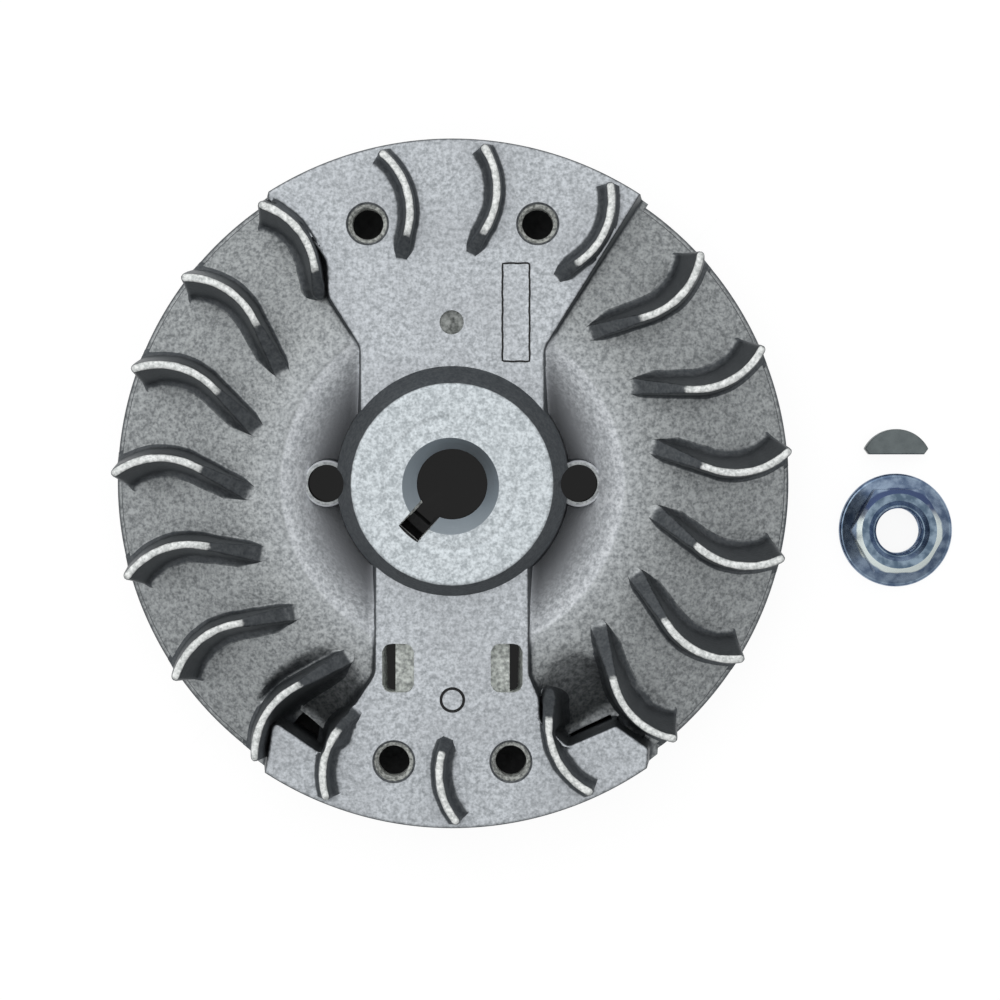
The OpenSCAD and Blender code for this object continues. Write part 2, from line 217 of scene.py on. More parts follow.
print("boolean helper ready")

# %% [markdown]
# ## The height of the web
#
# The web is the dished wall between hub and rim. Seen along a radius it climbs steeply from the hub,
# rounds over a crest and falls slowly to the rim. Beside the lower segment two round scoops lead down
# to the segment's inner wall, where the metal had to flow round the magnet. One function of x and y
# gives this height, and the web, the feet of the blades and the feet of the raised walls all ask it,
# so they meet.

# %% Height of the ground
scoop_r, scoop_start_r, scoop_end_h = 10.0, 31.0, 11.0
scoop_bearings = np.radians([238.0, 301.0])


def smooth(t):
    """The S-curve 3 t^2 - 2 t^3, held at 0 below t = 0 and at 1 above t = 1."""
    t = np.clip(t, 0, 1)
    return t * t * (3 - 2 * t)


def soft_floor(value, softness):
    """softness * log(1 + e^(value / softness)): nearly the value above 0, and nearly 0 below."""
    return softness * np.logaddexp(0, value / softness)


def dish(r):
    """crest - (crest - well) * (way in) ^ 1.6 - (crest - rim) * (way out) ^ 1.5, ways from the crest."""
    inward = np.clip((crest_r - r) / (crest_r - hub_foot_r), 0, 1)
    outward = np.clip((r - crest_r) / (rim_r - crest_r), 0, 1)
    return crest_h - (crest_h - well_h) * inward ** 1.6 - (crest_h - rim_h) * outward ** 1.5


def scoop(x, y, bearing):
    """Height of a scoop over (x, y): a round channel whose lowest line falls evenly along a bearing.

    Across the channel the floor rises by R - sqrt(R^2 - across^2). It ends in a steep bank outside.
    """
    along = x * np.cos(bearing) + y * np.sin(bearing)
    across = y * np.cos(bearing) - x * np.sin(bearing)
    slope = (dish(scoop_start_r) - scoop_end_h) / (ring_r - scoop_start_r)
    line = scoop_end_h + slope * np.maximum(ring_r - along, 0) + 2 * np.maximum(along - ring_r - 2.6, 0)
    side = scoop_r - np.sqrt(np.maximum(scoop_r ** 2 - across ** 2, 0))
    return line + side * np.hypot(1, slope) + 20 * (np.abs(across) > scoop_r)


def ground(x, y):
    """Height of the web's front over (x, y): the dish, or a scoop where that is lower, softly joined."""
    height = dish(np.hypot(x, y))
    for bearing in scoop_bearings:
        height = height - soft_floor(height - scoop(x, y, bearing), 0.35)
    return height


print("web height at the crest:", round(float(ground(crest_r, 0.0)), 2))

# %% [markdown]
# ## The web and its rim
#
# The web could be turned as one profile, but the scoops are not round, so its front is a polar grid that
# takes each height from the ground function. The rim gets a small rounded edge, and the back stays
# flat until the hollow is cut.

# %% Web
def make_web():
    """Rings of equal radius: out along the flat back, up the rim, and back in along the front.

    The small radii near the axis only close the shape. The bore takes that part away.
    """
    turn = np.linspace(0, 2 * np.pi, 480, endpoint=False)
    edge = round_corner((rim_r - 0.8, rim_h - 0.8), 0.8, 0, 80, 5)
    inwards = np.concatenate([
        np.linspace(rim_r - 0.8, crest_r, 44),
        np.linspace(crest_r, hub_foot_r - 1, 20)[1:],
        [9, 2],
    ])
    radii = np.concatenate([[2, rim_r - 0.3, rim_r], [r for r, z in edge], inwards])
    heights = np.concatenate([[0, 0, 0.3], [z for r, z in edge], np.zeros(len(inwards))])
    x, y = radii[:, None] * np.cos(turn), radii[:, None] * np.sin(turn)
    z = heights[:, None] + 0 * x
    front = slice(len(radii) - len(inwards), None)
    z[front] = ground(x[front], y[front])
    z[front.start] -= 0.02
    return solid("casting_body", np.stack([x, y, z], -1))


web = make_web()
print("web faces:", len(web.data.polygons))

# %% [markdown]
# ## The bar and the two segments
#
# A flat bar runs across the wheel under the hub and spreads into a segment of the rim at each end.
# Its outline is a handful of corners with radii, and the round outer part runs just outside the
# segments' radius, where a turned envelope trims it. The wall leans, has a rounded upper edge, and
# ends in a fillet that settles on the web wherever the web happens to be: that is why its lowest
# rings ask the ground function.

# %% Outlines with rounded corners
def rounded(corners, spacing=0.4):
    """A closed outline from rows of (x, y, corner radius), walked at an even spacing.

    Each corner becomes an arc that touches both its sides: it starts radius * tan(turn / 2) before
    the corner, and its centre lies one radius to the side that the outline turns to.
    """
    corners = np.array(corners, float)
    point, radius = corners[:, :2], corners[:, 2]
    arrive = point - np.roll(point, 1, 0)
    arrive /= np.linalg.norm(arrive, axis=1, keepdims=True)
    leave = np.roll(arrive, -1, 0)
    heading = np.arctan2(arrive[:, 1], arrive[:, 0])
    cross = arrive[:, 0] * leave[:, 1] - arrive[:, 1] * leave[:, 0]
    turn = np.arctan2(cross, (arrive * leave).sum(1))
    left = np.column_stack([-arrive[:, 1], arrive[:, 0]])
    start = point - arrive * (radius * np.tan(np.abs(turn) / 2))[:, None]
    centre = start + left * (np.sign(turn) * radius)[:, None]
    a = heading[:, None] + turn[:, None] * np.linspace(0, 1, 9)
    sideways = np.stack([-np.sin(a), np.cos(a)], -1)
    line = (centre[:, None] - sideways * (np.sign(turn) * radius)[:, None, None]).reshape(-1, 2)
    line = np.vstack([line, line[:1]])
    way = np.concatenate([[0], np.cumsum(np.linalg.norm(np.diff(line, axis=0), axis=1))])
    marks = np.linspace(0, way[-1], int(way[-1] / spacing), endpoint=False)
    return np.column_stack([np.interp(marks, way, line[:, k]) for k in (0, 1)])


def arc_corners(start, end):
    """Corner rows along a circle a little outside the segments, from one bearing to another."""
    radius = segment_r + 0.4
    bearings = np.radians(np.linspace(start, end, 16))
    return [(radius * np.cos(b), radius * np.sin(b), 0) for b in bearings]


upper_outline = rounded(
    [(14.15, 0, 0), (14.15, 20.8, 3)]
    + arc_corners(57.0, 121.6)
    + [(-28.6, 43.7, 1.4), (-23.1, 39.7, 3), (-19.4, 34.2, 3), (-19.1, 28.8, 3),
       (-14.2, 21.0, 3), (-14.15, 0, 0)]
)
lower_outline = rounded(
    [(-11.8, 0, 0), (-11.95, -29.2, 3), (-15.4, -34.4, 3), (-20.2, -41.4, 0.6), (-27.6, -36.3, 0.8)]
    + arc_corners(237.2, 304.0)
    + [(30.2, -40.6, 1.0), (25.2, -37.1, 0.8), (17.7, -40.3, 0.8), (13.5, -36.3, 1.5),
       (13.4, -33.1, 2), (11.8, -29.3, 2), (11.6, 0, 0)]
)
print("outline points:", len(upper_outline), len(lower_outline))

# %% Raised faces
def outward_normals(outline):
    """Unit normals to the right of a counter-clockwise outline, evened out over three neighbours."""
    along = np.roll(outline, -1, 0) - np.roll(outline, 1, 0)
    along = along + np.roll(along, 1, 0) + np.roll(along, -1, 0)
    along /= np.linalg.norm(along, axis=1, keepdims=True)
    return np.column_stack([along[:, 1], -along[:, 0]])


def raised_face(name, outline, lean=4.0, edge=0.45, foot=0.9):
    """The solid under a raised face: a wall at an offset from the outline that grows downwards.

    The offset is 0 at the face's edge, (face - z) * tan(lean) down the wall, and grows by the foot's
    radius through a quarter circle that ends level with the web. Below that the solid drops to z = 0.
    The last ring stands a hair higher than the face, so that the envelope trims all of it.
    """
    normal = outward_normals(outline)

    def at(offset):
        """The outline moved outwards by an offset."""
        return outline + normal * np.asarray(offset)[..., None]

    floor_z = ground(*at(1.0).T)
    slope = np.tan(np.radians(lean))
    inside = np.zeros(len(outline)) - 0.3
    rings = [(inside, np.zeros(len(outline))), (inside, floor_z - 1.2)]
    wall_low = (face_h - edge - floor_z - foot) * slope
    rings.append((wall_low + foot + 0.35, ground(*at(wall_low + foot + 0.35).T) - 0.2))
    for a in np.radians([0, 20, 40, 60, 80]):
        offset = wall_low + foot * (1 - np.sin(a))
        rings.append((offset, ground(*at(offset).T) + foot * (1 - np.cos(a))))
    rings.append((wall_low * 0.5, face_h - edge - (face_h - edge - floor_z - foot) * 0.5))
    for a in np.radians([4, 26, 48, 70, 90]):
        rings.append((np.full(len(outline), edge * (np.cos(a) - 1)), face_h - edge + edge * np.sin(a)))
    rings.append((np.full(len(outline), -edge - 0.15), face_h + 0.01))
    levels = [np.column_stack([at(offset), np.broadcast_to(z, len(outline))]) for offset, z in rings]
    return solid(name, np.array(levels))


def segment_envelope():
    """The turned shape that trims both segments' outer side, with a rounded upper edge, and their top.

    The top is a very flat cone of many small faces. A hole cut in one big face would leave it a face with
    a hole inside, which does not always split into triangles well.
    """
    top = [(r, face_h - 0.001 * r / segment_r) for r in np.linspace(segment_r - 0.5, 2, 15)[1:]]
    return turn_profile("envelope", [(2, -1), (segment_r, -1), *round_corner(
        (segment_r - 0.5, face_h - 0.5), 0.5, 0, 90), *top], 360)


upper_face = raised_face("upper_face", upper_outline)
lower_face = raised_face("lower_face", lower_outline)
for face in (upper_face, lower_face):
    combine(face, "INTERSECT", [segment_envelope()])
    print(face.name, "faces:", len(face.data.polygons))

# %% [markdown]
# ## The hub and the puller bosses
#
# The hub stands highest, because the nut seats on it. It is turned, so it is one profile: a small
# rounded edge and a leaning wall that goes on down into the well. A broad shallow groove, left by the
# die's insert, runs round its face. The puller bosses are short and half sunk in the web's slope.

# %% Hub
foot_shift = 0.44
puller_x, puller_r, puller_wall, puller_h = 19.5, 2.9, 0.75, 17.0


def make_hub():
    """The hub's profile, from the boss at the back, up the outside and in along the face.

    The wall's foot lies a little north of the face: each ring is moved by a share of foot_shift.
    """
    groove_r = np.linspace(10.9, 9.3, 9)
    groove = [(r, hub_h - 0.12 * np.sin(np.pi * (r - 9.3) / 1.6) ** 2) for r in groove_r]
    profile = [(2, 0), (boss_r - 0.4, 0), (boss_r, 0.4), (boss_r + 0.2, well_h - web_t + 0.5)]
    profile += [(hub_foot_r + 0.8, well_h - 1.2), (hub_foot_r + 0.3, well_h + 2.5)]
    profile += [(hub_foot_r, face_h - 0.3), (hub_foot_r - 0.15, face_h), (hub_r + 0.75, hub_h - 1.3)]
    profile += round_corner((hub_r - 0.25, hub_h - 0.5), 0.5, 25, 90, 6)
    profile += [(hub_r - 0.5, hub_h), (11.2, hub_h), *groove, (9.0, hub_h), (7.9, hub_h), (2, hub_h)]
    height = np.array(profile)[:, 1:]
    shift = foot_shift * smooth((hub_h - 0.3 - height) / 4) * smooth((height - well_h + 2) / 2)
    return turn_profile("hub", profile, 256, (0, shift))


def puller_boss(side):
    """A short turned boss round a puller hole, with a rounded lip, sunk in the slope of the web."""
    outer = puller_r + puller_wall
    profile = [(1, 6), (outer + 0.4, 6), (outer + 0.1, puller_h - 1.5)]
    profile += round_corner((outer - 0.4, puller_h - 0.4), 0.4, 15, 90, 5)
    profile += [(1, puller_h)]
    return turn_profile("boss", profile, 96, (side * puller_x, 0))


casting = combine(web, "UNION", [upper_face, lower_face, make_hub(), puller_boss(-1), puller_boss(1)])
print("casting joined, faces:", len(casting.data.polygons))

# %% [markdown]
# ## The hollow behind the web
#
# A magneto flywheel is cast thin to be light: behind the web lies a hollow on each side of a solid
# spine. The cutter is the turned space between boss and outer ring, less the spine and less the
# metal behind the segments.

# %% Back hollow
def back_hollow():
    """The space under the web, minus the spine and minus both segments' solid metal.

    Its roof is the ground lowered by the web's thickness. Near the ring it is rounded off.
    """
    spine_half, block_r = 8.75, 36.0
    turn = np.linspace(0, 2 * np.pi, 240, endpoint=False)
    roof_r = np.concatenate([np.linspace(hub_foot_r, crest_r, 9)[:-1], np.linspace(crest_r, ring_r - 1, 14)])
    radii = np.concatenate([[boss_r, ring_r + 0.3, ring_r, ring_r - 0.3], roof_r[::-1],
                            [boss_r + 1.2, boss_r + 0.3, boss_r]])
    x, y = radii[:, None] * np.cos(turn), radii[:, None] * np.sin(turn)
    z = ground(x, y) - web_t
    z[:2] = -1
    z[2:4] = np.minimum(z[4], z[2:4]) - [[1.2], [0.4]]
    z[-2:] -= [[0.3], [1.2]]
    cutter = solid("hollow", np.stack([x, y, z], -1), closed=True)
    spine = [(-spine_half, -60), (spine_half, -60), (spine_half, 60), (-spine_half, 60)]
    blocks = [prism("spine", spine, -2, 30)]
    for outline in (upper_outline, lower_outline):
        disc = turn_profile("disc", [(1, -3), (block_r, -3), (block_r, 31), (1, 31)])
        blocks.append(combine(prism("block", outline[::3], -2, 30), "DIFFERENCE", [disc]))
    return combine(cutter, "DIFFERENCE", blocks)


combine(casting, "DIFFERENCE", [back_hollow()])
print("hollow cut, faces:", len(casting.data.polygons))

# %% [markdown]
# ## The bore, the keyway and the holes
#
# The taper grips the crankshaft, the bevel at its mouth seats the nut, and the keyway beside it takes
# the key. Four threaded holes carry the starter's parts, two plain ones take a puller, and two slots
# in the lower bar were left by the die's cores.

# %% Bore and holes
bore_r, mouth_r, relief_r = 5.4, 7.4, 7.5
slot_place, slot_half_w, slot_half_l, ledge_depth = (8.35, -28.3), 2.6, 3.75, 2.9
keyway_bearing = np.radians(228.5)
notch_far, notch_half, notch_depth = 10.1, 1.92, 5
screw_r, screw_mouth_r, screw_depth = 3.0, 3.32, 8.0
screw_places = [(-13.0, 39.9), (13.1, 39.9), (-9.0, -42.7), (9.0, -42.7)]


def turned_box(name, near, far, half, low, high, bearing=0.0):
    """A box from distance near to far along a bearing, half as wide on each side of it."""
    corners = np.array([(near, -half), (far, -half), (far, half), (near, half)])
    c, s = np.cos(bearing), np.sin(bearing)
    return prism(name, corners @ np.array([(c, s), (-s, c)]), low, high)


def screw_cutter(place):
    """A drilled hole with a conical bottom and a bevelled mouth."""
    x, y = place
    low = face_h - screw_depth
    return turn_profile("screw", [
        (0.2, low - 1.2), (screw_r, low), (screw_r, face_h - 0.35), (screw_mouth_r, face_h - 0.02),
        (screw_mouth_r + 0.1, face_h + 8), (0.2, face_h + 8)], 64, (x, y))


def slot_outline(first, last, side):
    """The slot's outline between two distances from its middle.

    y = half length * (1 - |x / half width|^4) ^ (1/4), which is a rectangle with very round corners.
    """
    x = np.linspace(first, last, 13)
    arch = slot_half_l * (1 - np.abs(x / slot_half_w) ** 4) ** 0.25
    outline = np.vstack([np.column_stack([x, -arch]), np.column_stack([x, arch])[::-1]])
    return (outline + [slot_place[0], 0]) * [side, 1] + [0, slot_place[1]]


def slot_cutters(side):
    """A core slot: a shallow ledge beside the spine, and beyond it a deep part whose outer wall leans."""
    ledge_cutter = prism("slot", slot_outline(-2.45, 2.45, side), face_h - ledge_depth, face_h + 1)
    levels = [(-1, 0.9), (face_h - ledge_depth - 7, 1.3), (face_h - ledge_depth + 0.1, 2.45)]
    deep_cutter = solid("slot", np.array([
        np.column_stack([slot_outline(0.45, far, side), np.full(26, z)]) for z, far in levels]))
    return [ledge_cutter, deep_cutter]


def bore_cutters():
    """The tapered bore with its land, seat bevel and relief, its keyway and the notch at its mouth.

    The bevel was cut a little off the bore's axis, so its mouth is shifted and its width is uneven.
    """
    land_top = hub_h - (mouth_r - bore_r)
    bore = [(1, -1), (relief_r, -1), (relief_r, 2.5), (6.4, 2.6), (bore_r, land_top - 4), (bore_r, land_top),
            (mouth_r, hub_h), (mouth_r + 1, hub_h + 1), (1, hub_h + 1)]
    astray = smooth((np.array(bore)[:, 1:] - land_top) / (hub_h - land_top))
    keyway = turned_box("keyway", 1, 7.2, 1.55, 1.5, hub_h + 1, keyway_bearing)
    notch = turned_box("notch", 1, notch_far, notch_half, hub_h - notch_depth, hub_h + 1, keyway_bearing)
    pit = turned_box("pit", 8.7, 10.0, 1.8, hub_h - 8.5, hub_h - 4.9, keyway_bearing)
    return [turn_profile("bore", bore, 192, (-0.22 * astray, -0.3 * astray)), keyway, notch, pit]


screw_cutters = [screw_cutter(place) for place in screw_places]
holes = [turn_profile("puller", [(1, -1), (puller_r, -1), (puller_r, 30), (1, 30)], 64, (side * puller_x, 0))
         for side in (-1, 1)]
combine(casting, "DIFFERENCE", bore_cutters() + holes + slot_cutters(-1) + slot_cutters(1))
combine(casting, "DIFFERENCE", screw_cutters, keep_tools=True)
print("bores cut, faces:", len(casting.data.polygons))

# %% [markdown]
# ## The room for the magnet, and the trenches
#
# The magnet, the two stacks of pole sheets and their rivets are cast in, and only the sheets' ends
# reach the rim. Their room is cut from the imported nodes' own places. Two narrow trenches run along
# the lower segment's inner wall, where the die closed on the pole shoes.

# %% Pole room and trenches
def pole_room():
    """Cutters for both pole shoes, the magnet and the rivets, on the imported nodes' boxes."""
    low, high = node_box("right_pole_sheet_1")
    top = node_box("right_pole_sheet_9")[1][2]
    near, inner = low[0], high[1]
    cutters = []
    for side in (-1, 1):
        outline = [(side * near, inner), (side * near, inner - 7.5), (side * (near + 3), -segment_r - 2),
                   (side * (near + 15), -segment_r - 2), (side * (near + 7), inner)]
        cutters.append(prism("pole_room", outline, low[2], top))
    for name in [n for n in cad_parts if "rivet" in n]:
        rivet_low, rivet_high = node_box(name)
        middle, radius = (rivet_low + rivet_high) / 2, (rivet_high - rivet_low)[0] / 2 + 0.05
        bottom, lid = rivet_low[2], rivet_high[2]
        cutters.append(turn_profile("rivet_room", [
            (0.3, bottom), (radius, bottom), (radius, lid), (0.3, lid)], 48, middle[:2]))
    magnet_low, magnet_high = node_box("magnet")
    cutters.append(turned_box("magnet_room", magnet_low[0], magnet_high[0],
                              (magnet_high[1] - magnet_low[1]) / 2, low[2], top))
    cutters[-1].data.transform(move_y((magnet_low[1] + magnet_high[1]) / 2))
    return cutters


def move_y(distance):
    """The matrix that moves a mesh along Y by a distance in millimetres."""
    matrix = np.eye(4)
    matrix[1, 3] = distance * MM
    return Matrix(matrix.tolist())


def trench(wall, widths, depth_z=4.0):
    """A trench beside a wall line: the line moved by 0.4 to one side, and by each width to the other."""
    wall = np.array(wall, float)
    along = np.gradient(wall, axis=0)
    along /= np.linalg.norm(along, axis=1, keepdims=True)
    inward = np.column_stack([along[:, 1], -along[:, 0]])
    inward *= np.sign(-(inward * wall).sum(1))[:, None]
    near, far = wall + inward * 0.4, wall + inward * np.array(widths)[:, None]
    return prism("trench", np.vstack([near, far[::-1]]), depth_z, face_h + 1)


trenches = [
    trench([(-20.6, -41.1), (-23.9, -38.85), (-27.6, -36.3)], [2.3, 2.7, 3.0]),
    trench([(18.3, -40.05), (21.7, -38.6), (25.0, -37.15)], [0.9, 1.0, 1.1]),
    trench([(25.2, -37.15), (27.4, -38.65), (29.4, -40.0)], [1.2, 2.0, 2.4]),
]
combine(casting, "DIFFERENCE", trenches + pole_room())
print("rooms cut, faces:", len(casting.data.polygons))

# %% [markdown]
# ## Marks in the faces
#
# The ejector pins that push the casting out of its die leave round marks: one sunk and rough, one a
# thin ring. A thin engraved frame on the upper bar is left empty. They are cut as real grooves,
# because a groove this size catches light that a painted line would not. The ring and the frame are
# also painted near black, as painted shade.

# %% Marks
def rough_mark(x0, y0, radius=1.85, depth=0.7):
    """A sunk disc whose floor is uneven: depth + sines of x and y, fading out at its rim."""
    turn = np.linspace(0, 2 * np.pi, 48, endpoint=False)
    radii = np.array([0.1, 0.35, 0.7, 1.05, 1.4, 1.7, radius, radius])
    x, y = radii[:, None] * np.cos(turn), radii[:, None] * np.sin(turn)
    uneven = 0.16 * np.sin(5.1 * x + 1.3 * y + 0.6) * np.sin(4.3 * y - 1.9 * x)
    uneven *= 1 - (radii / 1.9)[:, None] ** 4
    z = face_h - depth + uneven
    z[-1] = face_h + 0.5
    return solid("mark", np.stack([x + x0, y + y0, z], -1)[:, ::-1])


def ring_groove(x0, y0, radius=1.75, half=0.22):
    """A thin round groove: a small circle turned about the mark's middle."""
    a = np.linspace(0, 2 * np.pi, 8, endpoint=False)
    return turn_profile("groove", np.column_stack([radius + half * np.cos(a), face_h + half * np.sin(a)]),
                        64, (x0, y0), closed=True)


def engraved_frame(low, high, half=0.15):
    """A square groove round an empty rectangle, a little unsteady, as if cut by hand."""
    (left, bottom), (right, top) = low, high
    corners = [(left, bottom), (right, bottom), (right, top), (left, top)]
    line = rounded([(x, y, 0.15) for x, y in corners], 0.35)
    wander = 0.05 * np.sin(2.3 * line[:, 1:]) * np.sin(1.1 * line[:, 1:] + 3 * line[:, :1])
    normal = outward_normals(line)
    a = np.radians([45, 135, 225, 315])
    side, height = half * np.sqrt(2) * np.cos(a), half * np.sqrt(2) * np.sin(a)
    xy = line[:, None] + normal[:, None] * (wander + side)[..., None]
    return solid("frame_groove", np.dstack([xy, np.broadcast_to(face_h + height, xy.shape[:2])]), closed=True)


mark_place, ring_place = (-0.1, 24.8), (0, -33.2)
frame_low, frame_high = (7.7, 18.8), (11.85, 33.85)
combine(casting, "DIFFERENCE", [
    rough_mark(*mark_place), ring_groove(*ring_place), engraved_frame(frame_low, frame_high)])
finish_shading(casting)
print("casting finished, faces:", len(casting.data.polygons))

# %% [markdown]
# ## The fan blades
#
# Nineteen curved blades blow air over the cylinder. Each is a thin wall that starts as a straight
# ramp on the web and curls forward to the rim. It could be modelled once and copied, but each stands
# on different ground, so a function carries a cross-section along the blade's own path. Across the
# path the section is: foot fillet, leaning flank, rounded ridge, flank, foot fillet. The hollow side
# leans more than the other, as the die needs. Heights are shares of the way from the ground to the
# ridge, so every foot settles on the web or on the bar's face.

# %% Blade path and section
ridge_t = 1.3
arc_r, low_point_r, dip_back = 11.5, 44.0, 1.0
in_angle, out_angle = np.radians(22.0), np.radians(43.5)
straight_len = 11.5
hollow_lean, back_lean, north_lean = np.tan(np.radians([9.0, 3.0, 1.2]))
hollow_foot, back_foot = 1.7, 1.0
nose, unevenness = 0.75, 0.05
end_lead, end_len = 0.7, 1.9


def distance_inside(outline, x, y):
    """Distance of points from an outline, positive inside: the nearest of all the outline's edges."""
    a, b = outline, np.roll(outline, -1, 0)
    p = np.stack([x.ravel(), y.ravel()], -1)[:, None]
    edge = (b - a)[None]
    share = np.clip(((p - a) * edge).sum(-1) / (edge ** 2).sum(-1), 0, 1)
    gap = np.linalg.norm(p - a - share[..., None] * edge, axis=-1).min(1)
    above = (a[None, :, 1] > p[..., 1]) != (b[None, :, 1] > p[..., 1])
    drop = np.where(np.abs(edge[..., 1]) < 1e-9, 1e-9, edge[..., 1])
    crossing = p[..., 0] < a[None, :, 0] + (p[..., 1] - a[None, :, 1]) * edge[..., 0] / drop
    inside = (above & crossing).sum(1) % 2 == 1
    return np.where(inside, gap, -gap).reshape(x.shape)


def segment_ground(x, y):
    """The face's height on the segments, falling off steeply just inside their outline to the web."""
    inside = np.maximum(distance_inside(upper_outline[::3], x, y), distance_inside(lower_outline[::3], x, y))
    return ground(x, y) + (face_h - ground(x, y)) * smooth(inside / 0.4)


def blade_line(rows, start_r):
    """Way, heading, x and y of points on a blade's middle line: straight from radius start_r, then an arc.

    On the arc at heading h: x = low point + R sin h, y = -dip + R (1 - cos h). The straight run goes
    on inwards from heading -in_angle.
    """
    def points(way):
        heading = -in_angle + np.clip(way - straight_len, 0, None) / arc_r
        back = np.clip(straight_len - way, 0, None)
        x = low_point_r + arc_r * np.sin(heading) - back * np.cos(in_angle)
        return heading, x, -dip_back + arc_r * (1 - np.cos(heading)) + back * np.sin(in_angle)

    length = straight_len + arc_r * (in_angle + out_angle)
    trial = np.linspace(0, length, 400)
    start = np.interp(start_r, np.hypot(*points(trial)[1:]), trial)
    tip = length - nose * (1 - np.sin(np.radians([18, 36, 54, 68, 80, 90])))
    way = np.concatenate([start + (length - nose - start) * np.linspace(0, 1, rows - 6) ** 1.4, tip])
    return way, *points(way)


def blade(name, bearing, ramp_r, ramp_z, ridge_r, height_under, seed, rows=64):
    """One blade as a stack of closed cross-sections along its path, in the wheel's own frame.

    Its inner end is narrowed like a quarter circle over end_len, from end_lead before the ramp starts.
    """
    way, heading, x, y = blade_line(rows, ramp_r - end_lead)
    c, s = np.cos(np.radians(bearing)), np.sin(np.radians(bearing))
    x, y, heading = c * x - s * y, s * x + c * y, heading + np.radians(bearing)
    r = np.hypot(x, y)
    ripple = np.random.default_rng(seed).normal(0, 1, (2, rows + 4))
    ripple = (ripple[:, :-4] + 2 * ripple[:, 1:-3] + 3 * ripple[:, 2:-2]
              + 2 * ripple[:, 3:-1] + ripple[:, 4:]) / 9
    slope = (ridge_h - ramp_z) / (ridge_r - ramp_r)
    curl = 1 - np.sqrt(1 - np.clip(1 - (way[-1] - way) / nose, 0, 0.96) ** 2)
    top = ridge_h - soft_floor((ridge_r - r) * slope, 0.16) + unevenness * ripple[0] - 0.7 * curl
    under = height_under(x, y)
    rise = soft_floor(top - under, 0.22)
    height = np.maximum(rise, 0.03)[:, None]
    end = np.clip((r - ramp_r + end_lead) / end_len, 0.003, 1)
    narrow = np.sqrt(1 - (1 - end) ** 2)[:, None]
    across, share = [], []
    for sign, lean, foot in ((-1, back_lean, back_foot), (1, hollow_lean, hollow_foot)):
        lean = lean + sign * np.cos(heading)[:, None] * north_lean
        half = ((ridge_t / 2 + unevenness * ripple[1]) * (1 - curl))[:, None]
        edge = np.minimum(0.65 * half, 0.35 * height)
        fillet = np.minimum(foot, 0.55 * height)
        tip = half + (ridge_h - top[:, None]).clip(0) * lean
        a = np.radians([12, 35, 60, 82])
        ridge = (tip - edge + edge * np.sin(a), 1 - edge * (1 - np.cos(a)) / height)
        wall_from, wall_to = edge * 0.9, height - fillet * 0.9
        down = wall_from + (wall_to - wall_from) * np.array([0.25, 0.6, 0.9])
        wall = (tip + down * lean, 1 - down / height)
        a = np.radians([72, 54, 36, 18, 3])
        centre = tip + wall_to * lean + fillet
        toe = (centre - fillet * np.sin(a), fillet * (1 - np.cos(a)) / height)
        sink = (centre + 0.35, -0.12 / height)
        root = (centre + 0.1, -1.7 / height)
        parts = [ridge, wall, toe, sink, root]
        side_across = np.hstack([np.broadcast_to(p[0], (rows, np.shape(p[0])[-1])) for p in parts])
        side_share = np.hstack([np.broadcast_to(p[1], (rows, np.shape(p[1])[-1])) for p in parts])
        order = slice(None, None, -1) if sign < 0 else slice(None)
        across.append(sign * (side_across * narrow)[:, order])
        share.append(side_share[:, order])
    across, share = np.hstack(across), np.hstack(share)
    px = x[:, None] - across * np.sin(heading)[:, None]
    py = y[:, None] + across * np.cos(heading)[:, None]
    base = height_under(px, py)
    crown = (under + rise)[:, None]
    pz = base + share.clip(0) * (crown - base) + share.clip(None, 0) * height - 0.05 * (1 - share.clip(0, 1))
    return solid(name, np.stack([px, py, pz], -1))


def tip_envelope():
    """The turned shape that ends every blade at the rim's radius, with a rounded corner on top."""
    return turn_profile("tips", [(20, 4), (rim_r - 0.02, 4), *round_corner(
        (rim_r - 0.72, ridge_h - 0.7), 0.7, 0, 80, 6), (20, ridge_h + 0.15)], 360)


# %% [markdown]
# ## Placing the blades
#
# The bearings are uneven, as on the casting, so that the fan does not whine on one note. Blades
# beside the bar start on the web, those on the segments start on the face and have short ramps.

# %% All blades
side_bearings = {
    "left": [140.3, 158.0, 176.1, 193.8, 212.9, 232.2],
    "right": [40.7, 21.6, 3.6, 345.3, 326.9, 309.1],
}
segment_bearings = {"upper": [60.1, 82.5, 99.9, 122.3], "lower": [246.0, 268.7, 292.1]}
default_ramp = {"left": (30.8, 39.0), "right": (30.8, 39.0), "upper": (35.4, 39.0), "lower": (35.4, 39.0)}
own_ramp = {246.0: (37.6, 41.8), 268.7: (39.1, 41.0)}


def blade_group(group, bearings, ramp_z, height_under):
    """One piece with every blade of a group, trimmed at the rim. A ramp goes from one radius to another."""
    made = []
    for bearing in bearings:
        ramp_r, ridge_r = own_ramp.get(bearing, default_ramp[group])
        made.append(blade("blade", bearing, ramp_r, ramp_z, ridge_r, height_under, int(bearing * 10)))
    for each in made:
        combine(each, "INTERSECT", [tip_envelope()])
    return finish_shading(join(f"{group}_blades", made), 40)


blade_pieces = [blade_group(group, bearings, crest_h - 0.75, ground)
                for group, bearings in side_bearings.items()]
blade_pieces += [blade_group(group, bearings, face_h - 0.1, segment_ground)
                 for group, bearings in segment_bearings.items()]
for piece in blade_pieces:
    print(piece.name, "faces:", len(piece.data.polygons))

# %% [markdown]
# ## Threads
#
# The four tapped holes and the nut show their threads to the camera. A thread is a V that climbs as it
# turns. Modelled as a sleeve, it is a ring of cross-sections round the hole: the inner edge of each is
# the V pattern, shifted up by one pitch over a full turn, and the outer edge is buried in the metal.

